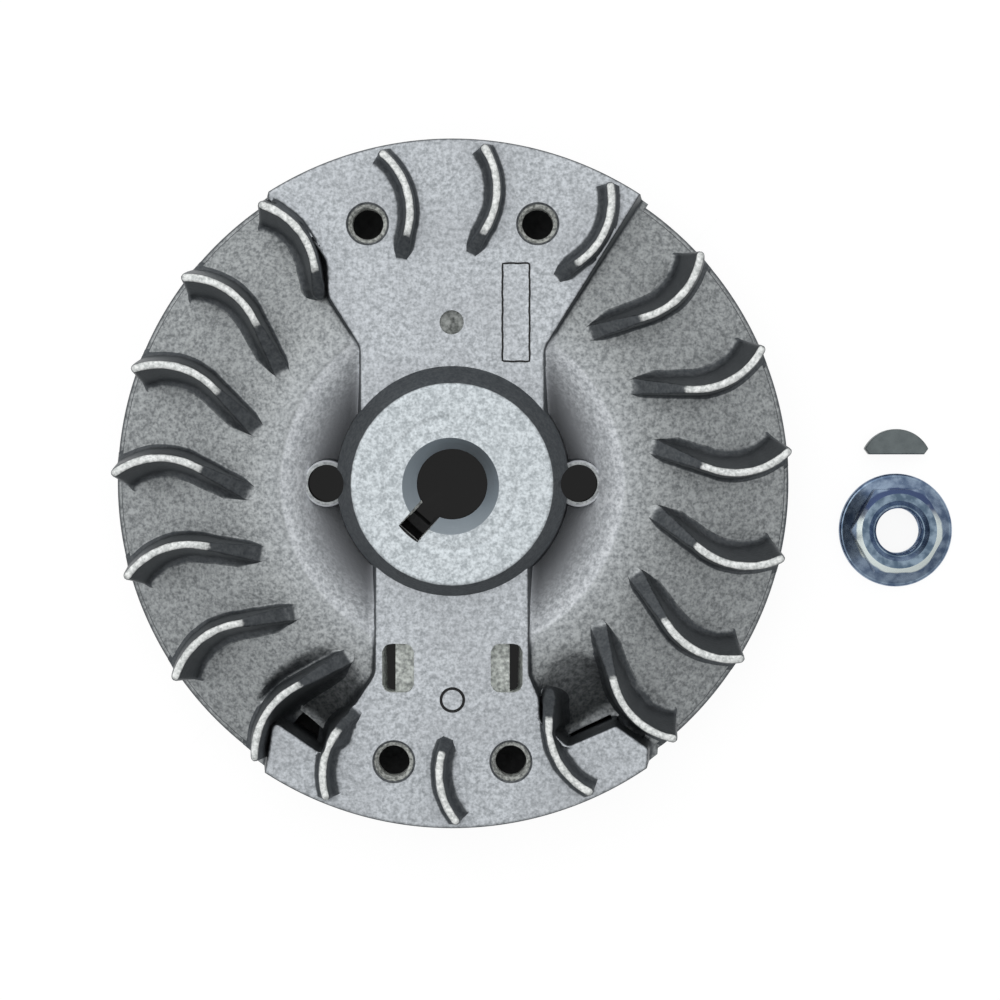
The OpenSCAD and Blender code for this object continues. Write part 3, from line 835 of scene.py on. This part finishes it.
# %% Thread sleeves
def thread(name, centre, low, high, minor_r, major_r, pitch, steps=64, per_turn=10):
    """A sleeve with a right-hand internal thread.

    Inner radius = minor + (major - minor) * V(z / pitch - turn), where V rises from 0 to 1 and back
    once in every turn, with a flat crest. It fades to the major radius at the sleeve's two ends.
    """
    turn = np.linspace(0, 1, steps, endpoint=False)[:, None]
    z = np.linspace(low, high, int((high - low) / pitch * per_turn))[None]
    phase = (z / pitch - turn) % 1
    groove = np.clip(1.15 * (1 - np.abs(2 * phase - 1)) - 0.12, 0, 1)
    ends = smooth(np.minimum(z - low, high - z) / (0.5 * pitch))
    inner = major_r - (major_r - minor_r) * (1 - groove) * ends
    radius = np.hstack([inner, np.full((steps, 2), major_r + 0.2)])
    height = np.hstack([np.broadcast_to(z, inner.shape), np.tile([high, low], (steps, 1))])
    a = 2 * np.pi * turn
    rings = np.stack([centre[0] + radius * np.cos(a), centre[1] + radius * np.sin(a), height], -1)
    return solid(name, rings, closed=True)


screw_threads = finish_shading(join("screw_threads", [
    thread("thread", place, face_h - screw_depth + 0.4, face_h - 0.4, 2.4, screw_r - 0.02, 1.0)
    for place in screw_places]))
for cutter in screw_cutters:
    bpy.data.objects.remove(cutter)
print("threads faces:", len(screw_threads.data.polygons))

# %% [markdown]
# ## The flange nut
#
# The nut is a hexagon on a round flange with a sloping top. The corners of the hexagon are turned off
# by a cone, which gives the curved edges every nut has. That curve comes out by itself when the
# hexagonal bar is intersected with a turned cone, so that is how it is made.

# %% Nut
nut_low, nut_high = node_box("flange_nut")
nut_place = (nut_low + nut_high)[:2] / 2
flange_r, nut_h = (nut_high - nut_low)[0] / 2, nut_high[2]
hex_af = 13.0
nut_bore_r, nut_mouth_r = 3.55, 4.75


def make_nut():
    """The hexagon within a cone, joined to the turned flange, with a bevelled hole through both."""
    corner_r = hex_af / np.sqrt(3)
    bearings = np.radians(np.arange(0, 360, 60))
    corners = [(nut_place[0] + corner_r * np.cos(b), nut_place[1] + corner_r * np.sin(b), 0.35)
               for b in bearings]
    hexagon = prism("flange_nut_visual", rounded(corners, 0.25), 0.8, nut_h)
    cone = turn_profile("cone", [
        (1, 0.5), (corner_r + 0.6, 0.5), (corner_r + 0.6, nut_h - 1.15), (hex_af / 2 - 0.5, nut_h - 0.05),
        (hex_af / 2 - 0.62, nut_h + 0.001), (1, nut_h + 0.001)], 192, nut_place)
    combine(hexagon, "INTERSECT", [cone])
    slope = [(flange_r - 0.5, 1.5), (hex_af / 2 + 0.5, 2.35), (hex_af / 2 - 0.2, 2.8), (1, 3.0)]
    flange = turn_profile("flange", [
        (1, 0), (flange_r - 0.3, 0), (flange_r, 0.3),
        *round_corner((flange_r - 0.5, 1.0), 0.5, 5, 75, 6), *slope], 256, nut_place)
    combine(hexagon, "UNION", [flange])
    bevel = nut_mouth_r - nut_bore_r - 0.35
    hole_r = nut_bore_r + 0.35
    hole = turn_profile("hole", [
        (1, -1), (nut_mouth_r + 1, -1), (nut_mouth_r, 0), (hole_r, bevel), (hole_r, nut_h - bevel),
        (nut_mouth_r, nut_h), (nut_mouth_r + 1, nut_h + 1), (1, nut_h + 1)], 128, nut_place)
    return finish_shading(combine(hexagon, "DIFFERENCE", [hole]), 20)


nut = make_nut()
nut_thread = finish_shading(thread(
    "nut_thread", nut_place, 0.7, nut_h - 0.7, nut_bore_r, nut_bore_r + 0.33, 1.0, steps=96))
print("nut faces:", len(nut.data.polygons), "thread faces:", len(nut_thread.data.polygons))

# %% [markdown]
# ## The key
#
# The key is a slice of a steel disc. Lying on its side it is an outline carried upwards, with a small
# bevel round both faces where the burr was taken off.

# %% Key
key_low, key_high = node_box("woodruff_key")


def make_key():
    """An arc over a flat, with cut corners: rings at four heights, the outer two drawn in by a bevel."""
    arc_radius, corner, bevel = 5.6, 0.9, 0.16
    middle_x, flat_y = (key_low + key_high)[0] / 2, key_low[1]
    arc_y = key_high[1] - arc_radius
    start = np.arcsin((flat_y + corner - arc_y) / arc_radius)
    a = np.linspace(start, np.pi - start, 60)
    arc = np.column_stack([middle_x + arc_radius * np.cos(a), arc_y + arc_radius * np.sin(a)])
    half = arc_radius * np.cos(start) - 0.75 * corner
    base = [(middle_x - half, flat_y, 0.1), (middle_x + half, flat_y, 0.1)]
    outline = rounded(base + [(x, y, 0) for x, y in arc], 0.15)
    normal = outward_normals(outline)
    levels = [(-bevel, 0), (0, bevel), (0, key_high[2] - bevel), (-bevel, key_high[2])]
    return finish_shading(solid("key_visual", np.array([
        np.column_stack([outline + normal * offset, np.full(len(outline), z)]) for offset, z in levels])), 35)


key = make_key()
print("key faces:", len(key.data.polygons))

# %% [markdown]
# ## Shader maths as Python expressions
#
# A material is a graph of nodes. Building it link by link is hard to read, so a socket is wrapped in a
# small class whose operators add the Math nodes: `1 - mask * 0.5` is then an expression like any
# other. Any other node comes from one method that takes its type, settings and inputs.

# %% Socket arithmetic
class Field:
    """A number or colour that varies over a surface, as the output socket that carries it."""

    def __init__(self, paint, socket):
        self.paint, self.socket = paint, socket

    def math(self, operation, *values):
        return self.paint.node("ShaderNodeMath", {"operation": operation}, dict(enumerate(values)))

    def __add__(self, other):
        return self.math("ADD", self, other)

    def __sub__(self, other):
        return self.math("SUBTRACT", self, other)

    def __rsub__(self, other):
        return self.math("SUBTRACT", other, self)

    def __mul__(self, other):
        return self.math("MULTIPLY", self, other)

    __radd__, __rmul__ = __add__, __mul__

    def size(self):
        """The value without its sign."""
        return self.math("ABSOLUTE", self)

    def root(self):
        """The square root."""
        return self.math("SQRT", self)

    def ramp(self, low, high):
        """0 below low, 1 above high, and an S-curve between them; low may be the larger."""
        return self.paint.node("ShaderNodeMapRange", {"interpolation_type": "SMOOTHSTEP"},
                               {"Value": self, "From Min": low, "From Max": high})


class Paint:
    """A new material with a Principled shader, and the nodes that feed it."""

    def __init__(self, name, **constants):
        self.material = bpy.data.materials.new(name)
        self.material.use_nodes = True
        self.tree = self.material.node_tree
        self.shader = self.tree.nodes["Principled BSDF"]
        for socket, value in constants.items():
            self.shader.inputs[socket.replace("_", " ")].default_value = value
        coordinates = self.tree.nodes.new("ShaderNodeTexCoord")
        self.place = Field(self, coordinates.outputs["Object"])
        self.facing = Field(self, coordinates.outputs["Normal"])

    def node(self, kind, settings, inputs, output=0):
        """Adds a node: its settings first, then the values or links of its sockets."""
        node = self.tree.nodes.new(kind)
        for name, value in settings.items():
            setattr(node, name, value)
        for name, value in inputs.items():
            if isinstance(value, Field):
                self.tree.links.new(value.socket, node.inputs[name])
            else:
                node.inputs[name].default_value = value
        return Field(self, node.outputs[output])

    def noise(self, grain, detail=2.0, roughness=0.5, where=None):
        """Cloudy noise from 0 to 1, whose blotches are about grain millimetres wide."""
        return self.node("ShaderNodeTexNoise", {}, {
            "Vector": where or self.place, "Scale": 1 / (2 * grain * MM), "Detail": detail,
            "Roughness": roughness})

    def axis(self, field, number):
        """One component of a vector: 0, 1 or 2 for x, y or z."""
        return self.node("ShaderNodeSeparateXYZ", {}, {"Vector": field}, number)

    def blend(self, share, first, second, blend_type="MIX"):
        """A colour between two, or two colours combined, by a share from 0 to 1."""
        return self.node("ShaderNodeMix", {"data_type": "RGBA", "blend_type": blend_type},
                         {0: share, 6: first, 7: second}, 2)

    def bump(self, height, depth, strength=1.0):
        """Normals tilted by a height from 0 to 1 that stands for a depth in millimetres."""
        return self.node("ShaderNodeBump", {}, {
            "Height": height, "Distance": depth * MM, "Strength": strength})

    def feed(self, **fields):
        """Links fields to the shader's own sockets."""
        for socket, field in fields.items():
            self.tree.links.new(field.socket, self.shader.inputs[socket.replace("_", " ")])
        return self.material


def tone(red, green, blue):
    """A colour as seen on a screen, 0 to 255, as the linear colour that a shader takes."""
    c = np.array([red, green, blue]) / 255
    linear = np.where(c <= 0.04045, c / 12.92, ((c + 0.055) / 1.055) ** 2.4)
    return (*linear.tolist(), 1.0)


print("paint helper ready, mid grey is", round(tone(128, 128, 128)[0], 3))

# %% [markdown]
# ## Blasted aluminium
#
# The casting was shot-blasted: faces that look up are bright and sparkle, because each dent catches
# the light at its own angle. Steep walls and fillets are painted darker and plainer, partly for the
# smoother skin of the die and partly as painted shade. The highest places, the ridges and the hub's
# face, are painted brightest, and the web, lower than the bar, takes darker tones. So the colour is
# chosen by how steep the surface is and how high it stands, and a fine noise makes the grain. On the
# blades the dark wall tones reach onto gentler slopes than on the web, so the same paint is made twice
# with different limits. The web's slope beside the hub, as bare metal, would mirror the dark horizon.
# So light is painted there: a paler tone and less of a metal's shine.

# %% Casting paint
bar_to_web, bar_to_highest = (0.0215, 0.0195), (0.0252, 0.0257)
lit_slope_starts, lit_slope_ends = (0.0172, 0.0178), (0.0285, 0.0265)


def cast_aluminium(name, flat, steep, highest_tones):
    """Blasted above the level flat; below the level steep painted dark, partly skin and partly painted
    shade; and painted brightest on top.

    The level is the upward part of the surface's normal: 1 on a flat face, 0 on an upright wall. The bar's
    tones give way to the web's darker ones, and to the brightest, between two heights, and the slope
    painted lighter lies between two radii, in metres.
    """
    paint = Paint(name)
    coarse, fine = paint.noise(0.42, 2.5, 0.6), paint.noise(0.2, 1.0)
    patches = paint.noise(6.0, 2.0)
    grain = (coarse - 0.5) * 2.0 + (fine - 0.5) * 1.1 + 0.5
    height = paint.axis(paint.place, 2)
    level = paint.axis(paint.facing, 2).size() + (patches - 0.5) * 0.05 + (coarse - 0.5) * 0.06
    low = height.ramp(*bar_to_web)
    faces = paint.blend(grain.ramp(-0.15, 1.15), tone(143, 148, 152), tone(214, 219, 224))
    faces = paint.blend(patches.ramp(0.3, 0.8) * 0.3, faces, tone(150, 152, 156))
    web = paint.blend(grain.ramp(-0.15, 1.15), tone(116, 120, 122), tone(188, 192, 193))
    faces = paint.blend(low, faces, web)
    # Painted shade in part: steep walls take these dark tones, partly for the die's smoother skin.
    walls = paint.blend(grain.ramp(0, 1), tone(76, 80, 84), tone(96, 100, 103))
    color = paint.blend(level.ramp(flat, steep), faces, walls)
    # Painted brightest: upward faces above a height, the ridges and the hub's face.
    high = (height + (coarse - 0.5) * 0.0006).ramp(*bar_to_highest)
    highest_share = high * level.ramp(0.5, 0.8)
    color = paint.blend(highest_share, color, paint.blend(grain.ramp(-0.1, 1.1), *highest_tones))
    x, y = paint.axis(paint.place, 0), paint.axis(paint.place, 1)
    radius = (x * x + y * y).root() + (coarse - 0.5) * 0.001
    # Painted light: the web's slope beside the hub takes paler tones and less metal shine, so that it does
    # not mirror the dark horizon.
    slope = level.ramp(0.28, 0.42) * level.ramp(0.99, 0.93)
    slope = slope * radius.ramp(*lit_slope_starts) * radius.ramp(*lit_slope_ends) * low
    lit_slope_grain = paint.blend(grain.ramp(-0.15, 1.15), tone(168, 173, 178), tone(240, 244, 248))
    inner = paint.blend(radius.ramp(0.0195, 0.0245), tone(190, 193, 198), lit_slope_grain)
    color = paint.blend(slope, color, inner)
    return paint.feed(Base_Color=color, Roughness=(coarse - 0.5) * 0.3 + 0.52, Metallic=0.8 - slope * 0.65,
                      Normal=paint.bump(grain, 0.06, 0.6))


def machined_seat():
    """Turned metal: fine rings about the crankshaft's axis, bluish and smooth."""
    paint = Paint("machined_seat", Metallic=0.9)
    x, y = paint.axis(paint.place, 0), paint.axis(paint.place, 1)
    radius = (x * x + y * y).root()
    rings = paint.noise(0.08, 1.0, 0.5, paint.node("ShaderNodeCombineXYZ", {}, {
        0: radius, 2: paint.axis(paint.place, 2)}))
    cloud = paint.noise(1.5)
    color = paint.blend(rings * 0.5 + cloud * 0.5, tone(144, 154, 162), tone(174, 184, 191))
    return paint.feed(Base_Color=color, Roughness=rings * 0.15 + 0.3, Normal=paint.bump(rings, 0.02, 0.4))


def skin(name, dark, light, grain=0.5):
    """Two even tones and little shine. The die's skin where no shot reached; the deep and ledge paints use
    it for painted shade and painted light.
    """
    paint = Paint(name, Metallic=0.3, Roughness=0.7)
    cloud = paint.noise(grain, 2.0).ramp(0.25, 0.75)
    return paint.feed(Base_Color=paint.blend(cloud, dark, light), Normal=paint.bump(cloud, 0.03, 0.5))


def face_middles(piece):
    """Middle of every face, in millimetres, as x, y and z."""
    middle = np.zeros(3 * len(piece.data.polygons))
    piece.data.polygons.foreach_get("center", middle)
    return middle.reshape(-1, 3).T / MM


def assign(piece, materials, chosen):
    """Gives the piece its materials, and each face the one with its number in chosen."""
    piece.data.materials.clear()
    for material in materials:
        piece.data.materials.append(material)
    piece.data.polygons.foreach_set("material_index", np.asarray(chosen, int))


# Paint numbers: the deep one is painted shade, the ledge one painted light.
BLASTED, MACHINED, DEEP_SHADE, BARE, LIT_LEDGE = range(5)
trench_low, trench_high, trench_y = 3, 8, 32


def casting_places(x, y, z):
    """Which paint each face of the casting takes: its number in casting_paints.

    Each place is a zone round a cut, a little wider than the cutter that made it. Holes, trenches and
    grooves get near-black painted shade, and the slots and the notch's floor a pale paint, as painted light.
    """
    r = np.hypot(x, y)
    along = x * np.cos(keyway_bearing) + y * np.sin(keyway_bearing)
    aside = np.abs(y * np.cos(keyway_bearing) - x * np.sin(keyway_bearing))
    sunk, notch_floor = z < face_h - 0.03, hub_h - notch_depth
    in_notch = (along > 4) & (aside < notch_half + 0.04) & (r < notch_far + 0.2)
    in_screw = np.min([np.hypot(x - sx, y - sy) for sx, sy in screw_places], 0) < screw_r + 0.05
    in_slot = (np.abs(np.abs(x) - slot_place[0]) < 2.5) & (np.abs(y - slot_place[1]) < slot_half_l)
    in_puller = np.hypot(np.abs(x) - puller_x, y) < puller_r + 0.03
    in_mark = np.hypot(x - mark_place[0], y - mark_place[1]) < 2
    (left, bottom), (right, top) = np.array(frame_low) - 0.5, np.array(frame_high) + 0.5
    in_frame = (x > left) & (x < right) & (y > bottom) & (y < top)
    in_groove = in_frame | (np.hypot(x - ring_place[0], y - ring_place[1]) < 2.1)
    shallow = sunk & (z > face_h - 1)
    place = np.where((r < mouth_r + 0.5) & (z < hub_h - 0.01), MACHINED, BLASTED)
    # Painted shade: trenches, grooves, holes, the notch and the lower bore take the near-black deep paint.
    place[(z < trench_high) & (z > trench_low) & (np.abs(y) > trench_y) & (r < rim_r - 2)] = DEEP_SHADE
    place[in_mark & shallow] = BARE
    place[in_groove & shallow] = DEEP_SHADE
    place[(in_screw | in_puller) & sunk] = DEEP_SHADE
    # Painted light: the slots take a pale paint, though they lie in shade.
    place[in_slot & sunk] = LIT_LEDGE
    place[in_notch & (z < hub_h - 0.02)] = DEEP_SHADE
    place[(r < bore_r + 1.2) & (z < hub_h - 2.1)] = DEEP_SHADE
    # Painted light on the notch's floor.
    place[in_notch & (along > 7.2) & (along < 8.7) & (np.abs(z - notch_floor) < 0.1)] = LIT_LEDGE
    return place


hub_tones = tone(158, 165, 169), tone(222, 229, 233)
ridge_tones = tone(176, 180, 179), tone(244, 246, 245)
casting_paints = [
    cast_aluminium("cast_aluminium", 0.93, 0.6, hub_tones),
    machined_seat(),
    # Painted shade: near black, for deep holes, trenches and grooves.
    skin("deep_shade_paint", tone(30, 31, 32), tone(44, 45, 46)),
    skin("die_skin", tone(84, 88, 86), tone(168, 172, 170), 0.35),
    # Painted light: pale, for the slots and the notch's floor, which lie in shade.
    skin("lit_ledge_paint", tone(146, 150, 148), tone(232, 236, 232), 0.3),
]
assign(casting, casting_paints, casting_places(*face_middles(casting)))
# The blades' walls take the dark tones on gentler slopes too: partly skin, partly painted shade.
blade_metal = cast_aluminium("cast_blades", 0.96, 0.84, ridge_tones)
for piece in blade_pieces:
    piece.data.materials.append(blade_metal)
screw_threads.data.materials.append(skin("tapped_skin", tone(106, 109, 107), tone(206, 209, 205), 0.25))
print("casting painted")

# %% [markdown]
# ## Steel and zinc
#
# The other metals differ in how they were finished. The pole sheets are stamped steel with a ground
# edge, the rivets and the key are plain steel with a dull skin, and the nut is plated with zinc, which
# is bright and bluish. Light is painted on the nut: a paler, bluer sheen on its slopes, a near-white
# glint on the bevel round its top, and deep blue painted shade where that bevel faces north.

# %% Steel and zinc paints
def plain_steel(name, dark, light, grain, rough, metallic=0.8, depth=0.02):
    """Steel with a cloudy skin: two tones by a coarse noise, and a fine noise for its tooth."""
    paint = Paint(name, Metallic=metallic)
    cloud, tooth = paint.noise(grain * 6, 3.0), paint.noise(grain, 2.0)
    color = paint.blend(cloud.ramp(0.3, 0.7) * 0.6 + tooth * 0.4, dark, light)
    roughness = (tooth - 0.5) * 0.2 + rough
    return paint.feed(Base_Color=color, Roughness=roughness, Normal=paint.bump(tooth, depth, 0.5))


def zinc_plate():
    """Bright zinc, blue-grey, with painted light: a paler sheen on slopes, a near-white painted glint on
    the bevel round the top, and deep blue painted shade where that bevel faces north.

    The bevel is told from the flange's slope by its distance from the nut's axis, in metres.
    """
    paint = Paint("zinc_plate", Metallic=1.0)
    cloud, tooth = paint.noise(0.8, 3.0), paint.noise(0.25, 2.0)
    level = paint.axis(paint.facing, 2).size() + (cloud - 0.5) * 0.03
    north = paint.axis(paint.facing, 1) + (cloud - 0.5) * 0.2
    color = paint.blend(cloud.ramp(0.35, 0.65), tone(84, 102, 120), tone(134, 152, 168))
    # Painted sheen: slopes take a paler, bluer tone than flat faces.
    slope_sheen = paint.blend(cloud.ramp(0.3, 0.7), tone(90, 108, 136), tone(148, 166, 188))
    color = paint.blend(level.ramp(0.995, 0.95), color, slope_sheen)
    x, y = (paint.axis(paint.place, number) - float(nut_place[number]) * MM for number in (0, 1))
    radius = (x * x + y * y).root() + (cloud - 0.5) * 0.0006
    bevel_ends, bevel_starts = (0.0069, 0.0066), (0.0055, 0.0057)
    bevel = level.ramp(0.97, 0.93) * radius.ramp(*bevel_ends) * radius.ramp(*bevel_starts)
    # Painted highlight on the bevel, and painted shade where it faces north.
    painted_glint_and_shade = paint.blend(north.ramp(0.05, 0.3), tone(236, 246, 244), tone(70, 84, 118))
    color = paint.blend(bevel, color, painted_glint_and_shade)
    return paint.feed(Base_Color=color, Roughness=tooth * 0.12 + 0.22, Normal=paint.bump(tooth, 0.01, 0.3))


zinc = zinc_plate()
for piece in (nut, nut_thread):
    assign(piece, [zinc], np.zeros(len(piece.data.polygons)))
key.data.materials.append(plain_steel("key_steel", tone(88, 95, 97), tone(106, 114, 115), 0.15, 0.5, 0.6))
node_paints = {
    "magnet": plain_steel("magnet_alloy", tone(62, 62, 66), tone(88, 88, 92), 0.3, 0.6, 0.5, 0.05),
    "pole_sheet": plain_steel("pole_steel", tone(112, 112, 114), tone(158, 158, 160), 0.12, 0.38),
    "rivet": plain_steel("rivet_steel", tone(130, 130, 132), tone(170, 170, 172), 0.12, 0.35),
}
for name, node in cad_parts.items():
    for word, material in node_paints.items():
        if word in name:
            for slot in node.material_slots:
                slot.material = material
print("steel and zinc painted")

# %% [markdown]
# ## Bodies and replaced nodes
#
# Each new piece says which body carries it and which imported node it stands for, and that node is
# hidden. The magnet, the sheets and the rivets have the right shape already and stay.

# %% Ride and replace
def stand_for(piece, body, node):
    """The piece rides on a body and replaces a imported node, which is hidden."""
    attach(piece, body)
    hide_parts(node)


for piece in [casting, screw_threads, *blade_pieces]:
    stand_for(piece, "flywheel", "casting")
for piece in (nut, nut_thread):
    stand_for(piece, "nut", "flange_nut")
stand_for(key, "key", "woodruff_key")
print("pieces placed on bodies")

# %% [markdown]
# ## Camera
#
# The photograph was taken from almost straight above, from about 0.67 m. In it, a millimetre at the
# table is 6.3 pixels, and one at the hub's face 6.55. That fixes distance and lens: scale = lens in
# pixels / distance. The camera stands a little north of the wheel, so north walls show wider.

# %% Camera
image_px, sensor_mm = 1000, 36.0
table_scale = 6.3
camera_distance = 670.0
tilt = np.radians(1.0)
hub_px = np.array([452.0, 484.3])


def make_camera():
    """Looks down at the table point that puts the hub's face on its pixel, turned so that +Y is up."""
    lens_px = table_scale * camera_distance
    hub_scale = lens_px / (camera_distance - hub_h)
    target_x = (image_px / 2 - hub_px[0]) / hub_scale
    target_y = -(image_px / 2 - hub_px[1]) / hub_scale - hub_h * np.tan(tilt)
    data = bpy.data.cameras.new("camera")
    data.sensor_width = sensor_mm
    data.lens = lens_px / image_px * sensor_mm
    data.clip_end = 50
    camera = bpy.data.objects.new("camera", data)
    camera.location = (
        target_x * MM, (target_y + camera_distance * np.sin(tilt)) * MM, camera_distance * np.cos(tilt) * MM)
    camera.rotation_euler = (-tilt, 0, 0)
    bpy.context.scene.collection.objects.link(camera)
    bpy.context.scene.camera = camera
    return camera


camera = make_camera()
print("lens", round(camera.data.lens, 1), "mm at", [round(c, 4) for c in camera.location])

# %% [markdown]
# ## Light and floor
#
# The picture is lit from above by a big soft source on a white table, and dark near the horizon. A
# world whose brightness grows towards a point high in the north gives that, and a large lamp adds a
# soft shadow. The floor shows the camera, and shiny metal, part of its white directly, so that
# shadows stay pale.

# %% Light and floor
def make_world(dark=0.4, bright=1.0, pole=(-0.2, 0.35, 1.0)):
    """Brightness = dark + (bright - dark) * S-curve of how far a direction leans towards the pole."""
    world = bpy.data.worlds.new("studio")
    bpy.context.scene.world = world
    world.use_nodes = True
    tree = world.node_tree
    place = tree.nodes.new("ShaderNodeTexCoord")
    toward = tree.nodes.new("ShaderNodeVectorMath")
    toward.operation = "DOT_PRODUCT"
    toward.inputs[1].default_value = Vector(pole).normalized()
    ramp = tree.nodes.new("ShaderNodeMapRange")
    ramp.interpolation_type = "SMOOTHSTEP"
    ramp.inputs["From Min"].default_value = -0.2
    ramp.inputs["From Max"].default_value = 1.0
    ramp.inputs["To Min"].default_value = dark
    ramp.inputs["To Max"].default_value = bright
    tree.nodes["Background"].inputs["Color"].default_value = (1, 1, 1, 1)
    tree.links.new(place.outputs["Generated"], toward.inputs[0])
    tree.links.new(toward.outputs["Value"], ramp.inputs["Value"])
    tree.links.new(ramp.outputs[0], tree.nodes["Background"].inputs["Strength"])


def make_lamp(power=1.5, width=0.7, place=(-0.25, 0.35, 1.1)):
    """A square lamp above and to the left, aimed at the wheel."""
    data = bpy.data.lights.new("softbox", "AREA")
    data.energy = power
    data.size = width
    lamp = bpy.data.objects.new("softbox", data)
    lamp.location = place
    lamp.rotation_euler = (-Vector(place)).to_track_quat("-Z", "Y").to_euler()
    bpy.context.scene.collection.objects.link(lamp)


def make_floor(reach=8.0, own_light=0.85, least_light=0.018, white=1.05):
    """A wide square just under the wheel. Camera and mirror rays see white mixed into its diffuse.

    The white fades where little of the sky can be seen, and there the floor's colour is painted near
    black, as painted shade, so the bottoms of deep bores stay dark.
    """
    mesh = bpy.data.meshes.new("floor")
    z = cad_low[2] - 0.00005
    mesh.from_pydata([(-reach, -reach, z), (reach, -reach, z), (reach, reach, z), (-reach, reach, z)], [],
                     [(0, 1, 2, 3)])
    floor = bpy.data.objects.new("floor", mesh)
    bpy.context.scene.collection.objects.link(floor)
    paint = Paint("white_table", Roughness=0.9, Specular_IOR_Level=0.0)
    rays = [paint.node("ShaderNodeLightPath", {}, {}, name)
            for name in ("Is Camera Ray", "Is Glossy Ray", "Is Transmission Ray")]
    seen = rays[0].math("MAXIMUM", rays[0], rays[1].math("MAXIMUM", rays[1], rays[2]))
    glow = paint.node("ShaderNodeEmission", {}, {"Color": (1, 1, 1, 1), "Strength": white})
    openness = paint.node("ShaderNodeAmbientOcclusion", {"samples": 64}, {"Distance": 0.06}, "AO")
    sky = openness.ramp(0.09, 0.135)
    # Painted shade: near black where the ambient occlusion finds little open sky.
    paint.feed(Base_Color=paint.blend(sky, (0.02, 0.02, 0.02, 1), (0.95, 0.95, 0.95, 1)))
    mixed = paint.node("ShaderNodeMixShader", {}, {0: seen * (sky * own_light + least_light), 2: glow})
    paint.tree.links.new(paint.shader.outputs[0], mixed.socket.node.inputs[1])
    paint.tree.links.new(mixed.socket, paint.tree.nodes["Material Output"].inputs["Surface"])
    mesh.materials.append(paint.material)


make_world()
make_lamp()
make_floor()
bpy.context.scene.view_settings.view_transform = "Standard"
print("light and floor ready")
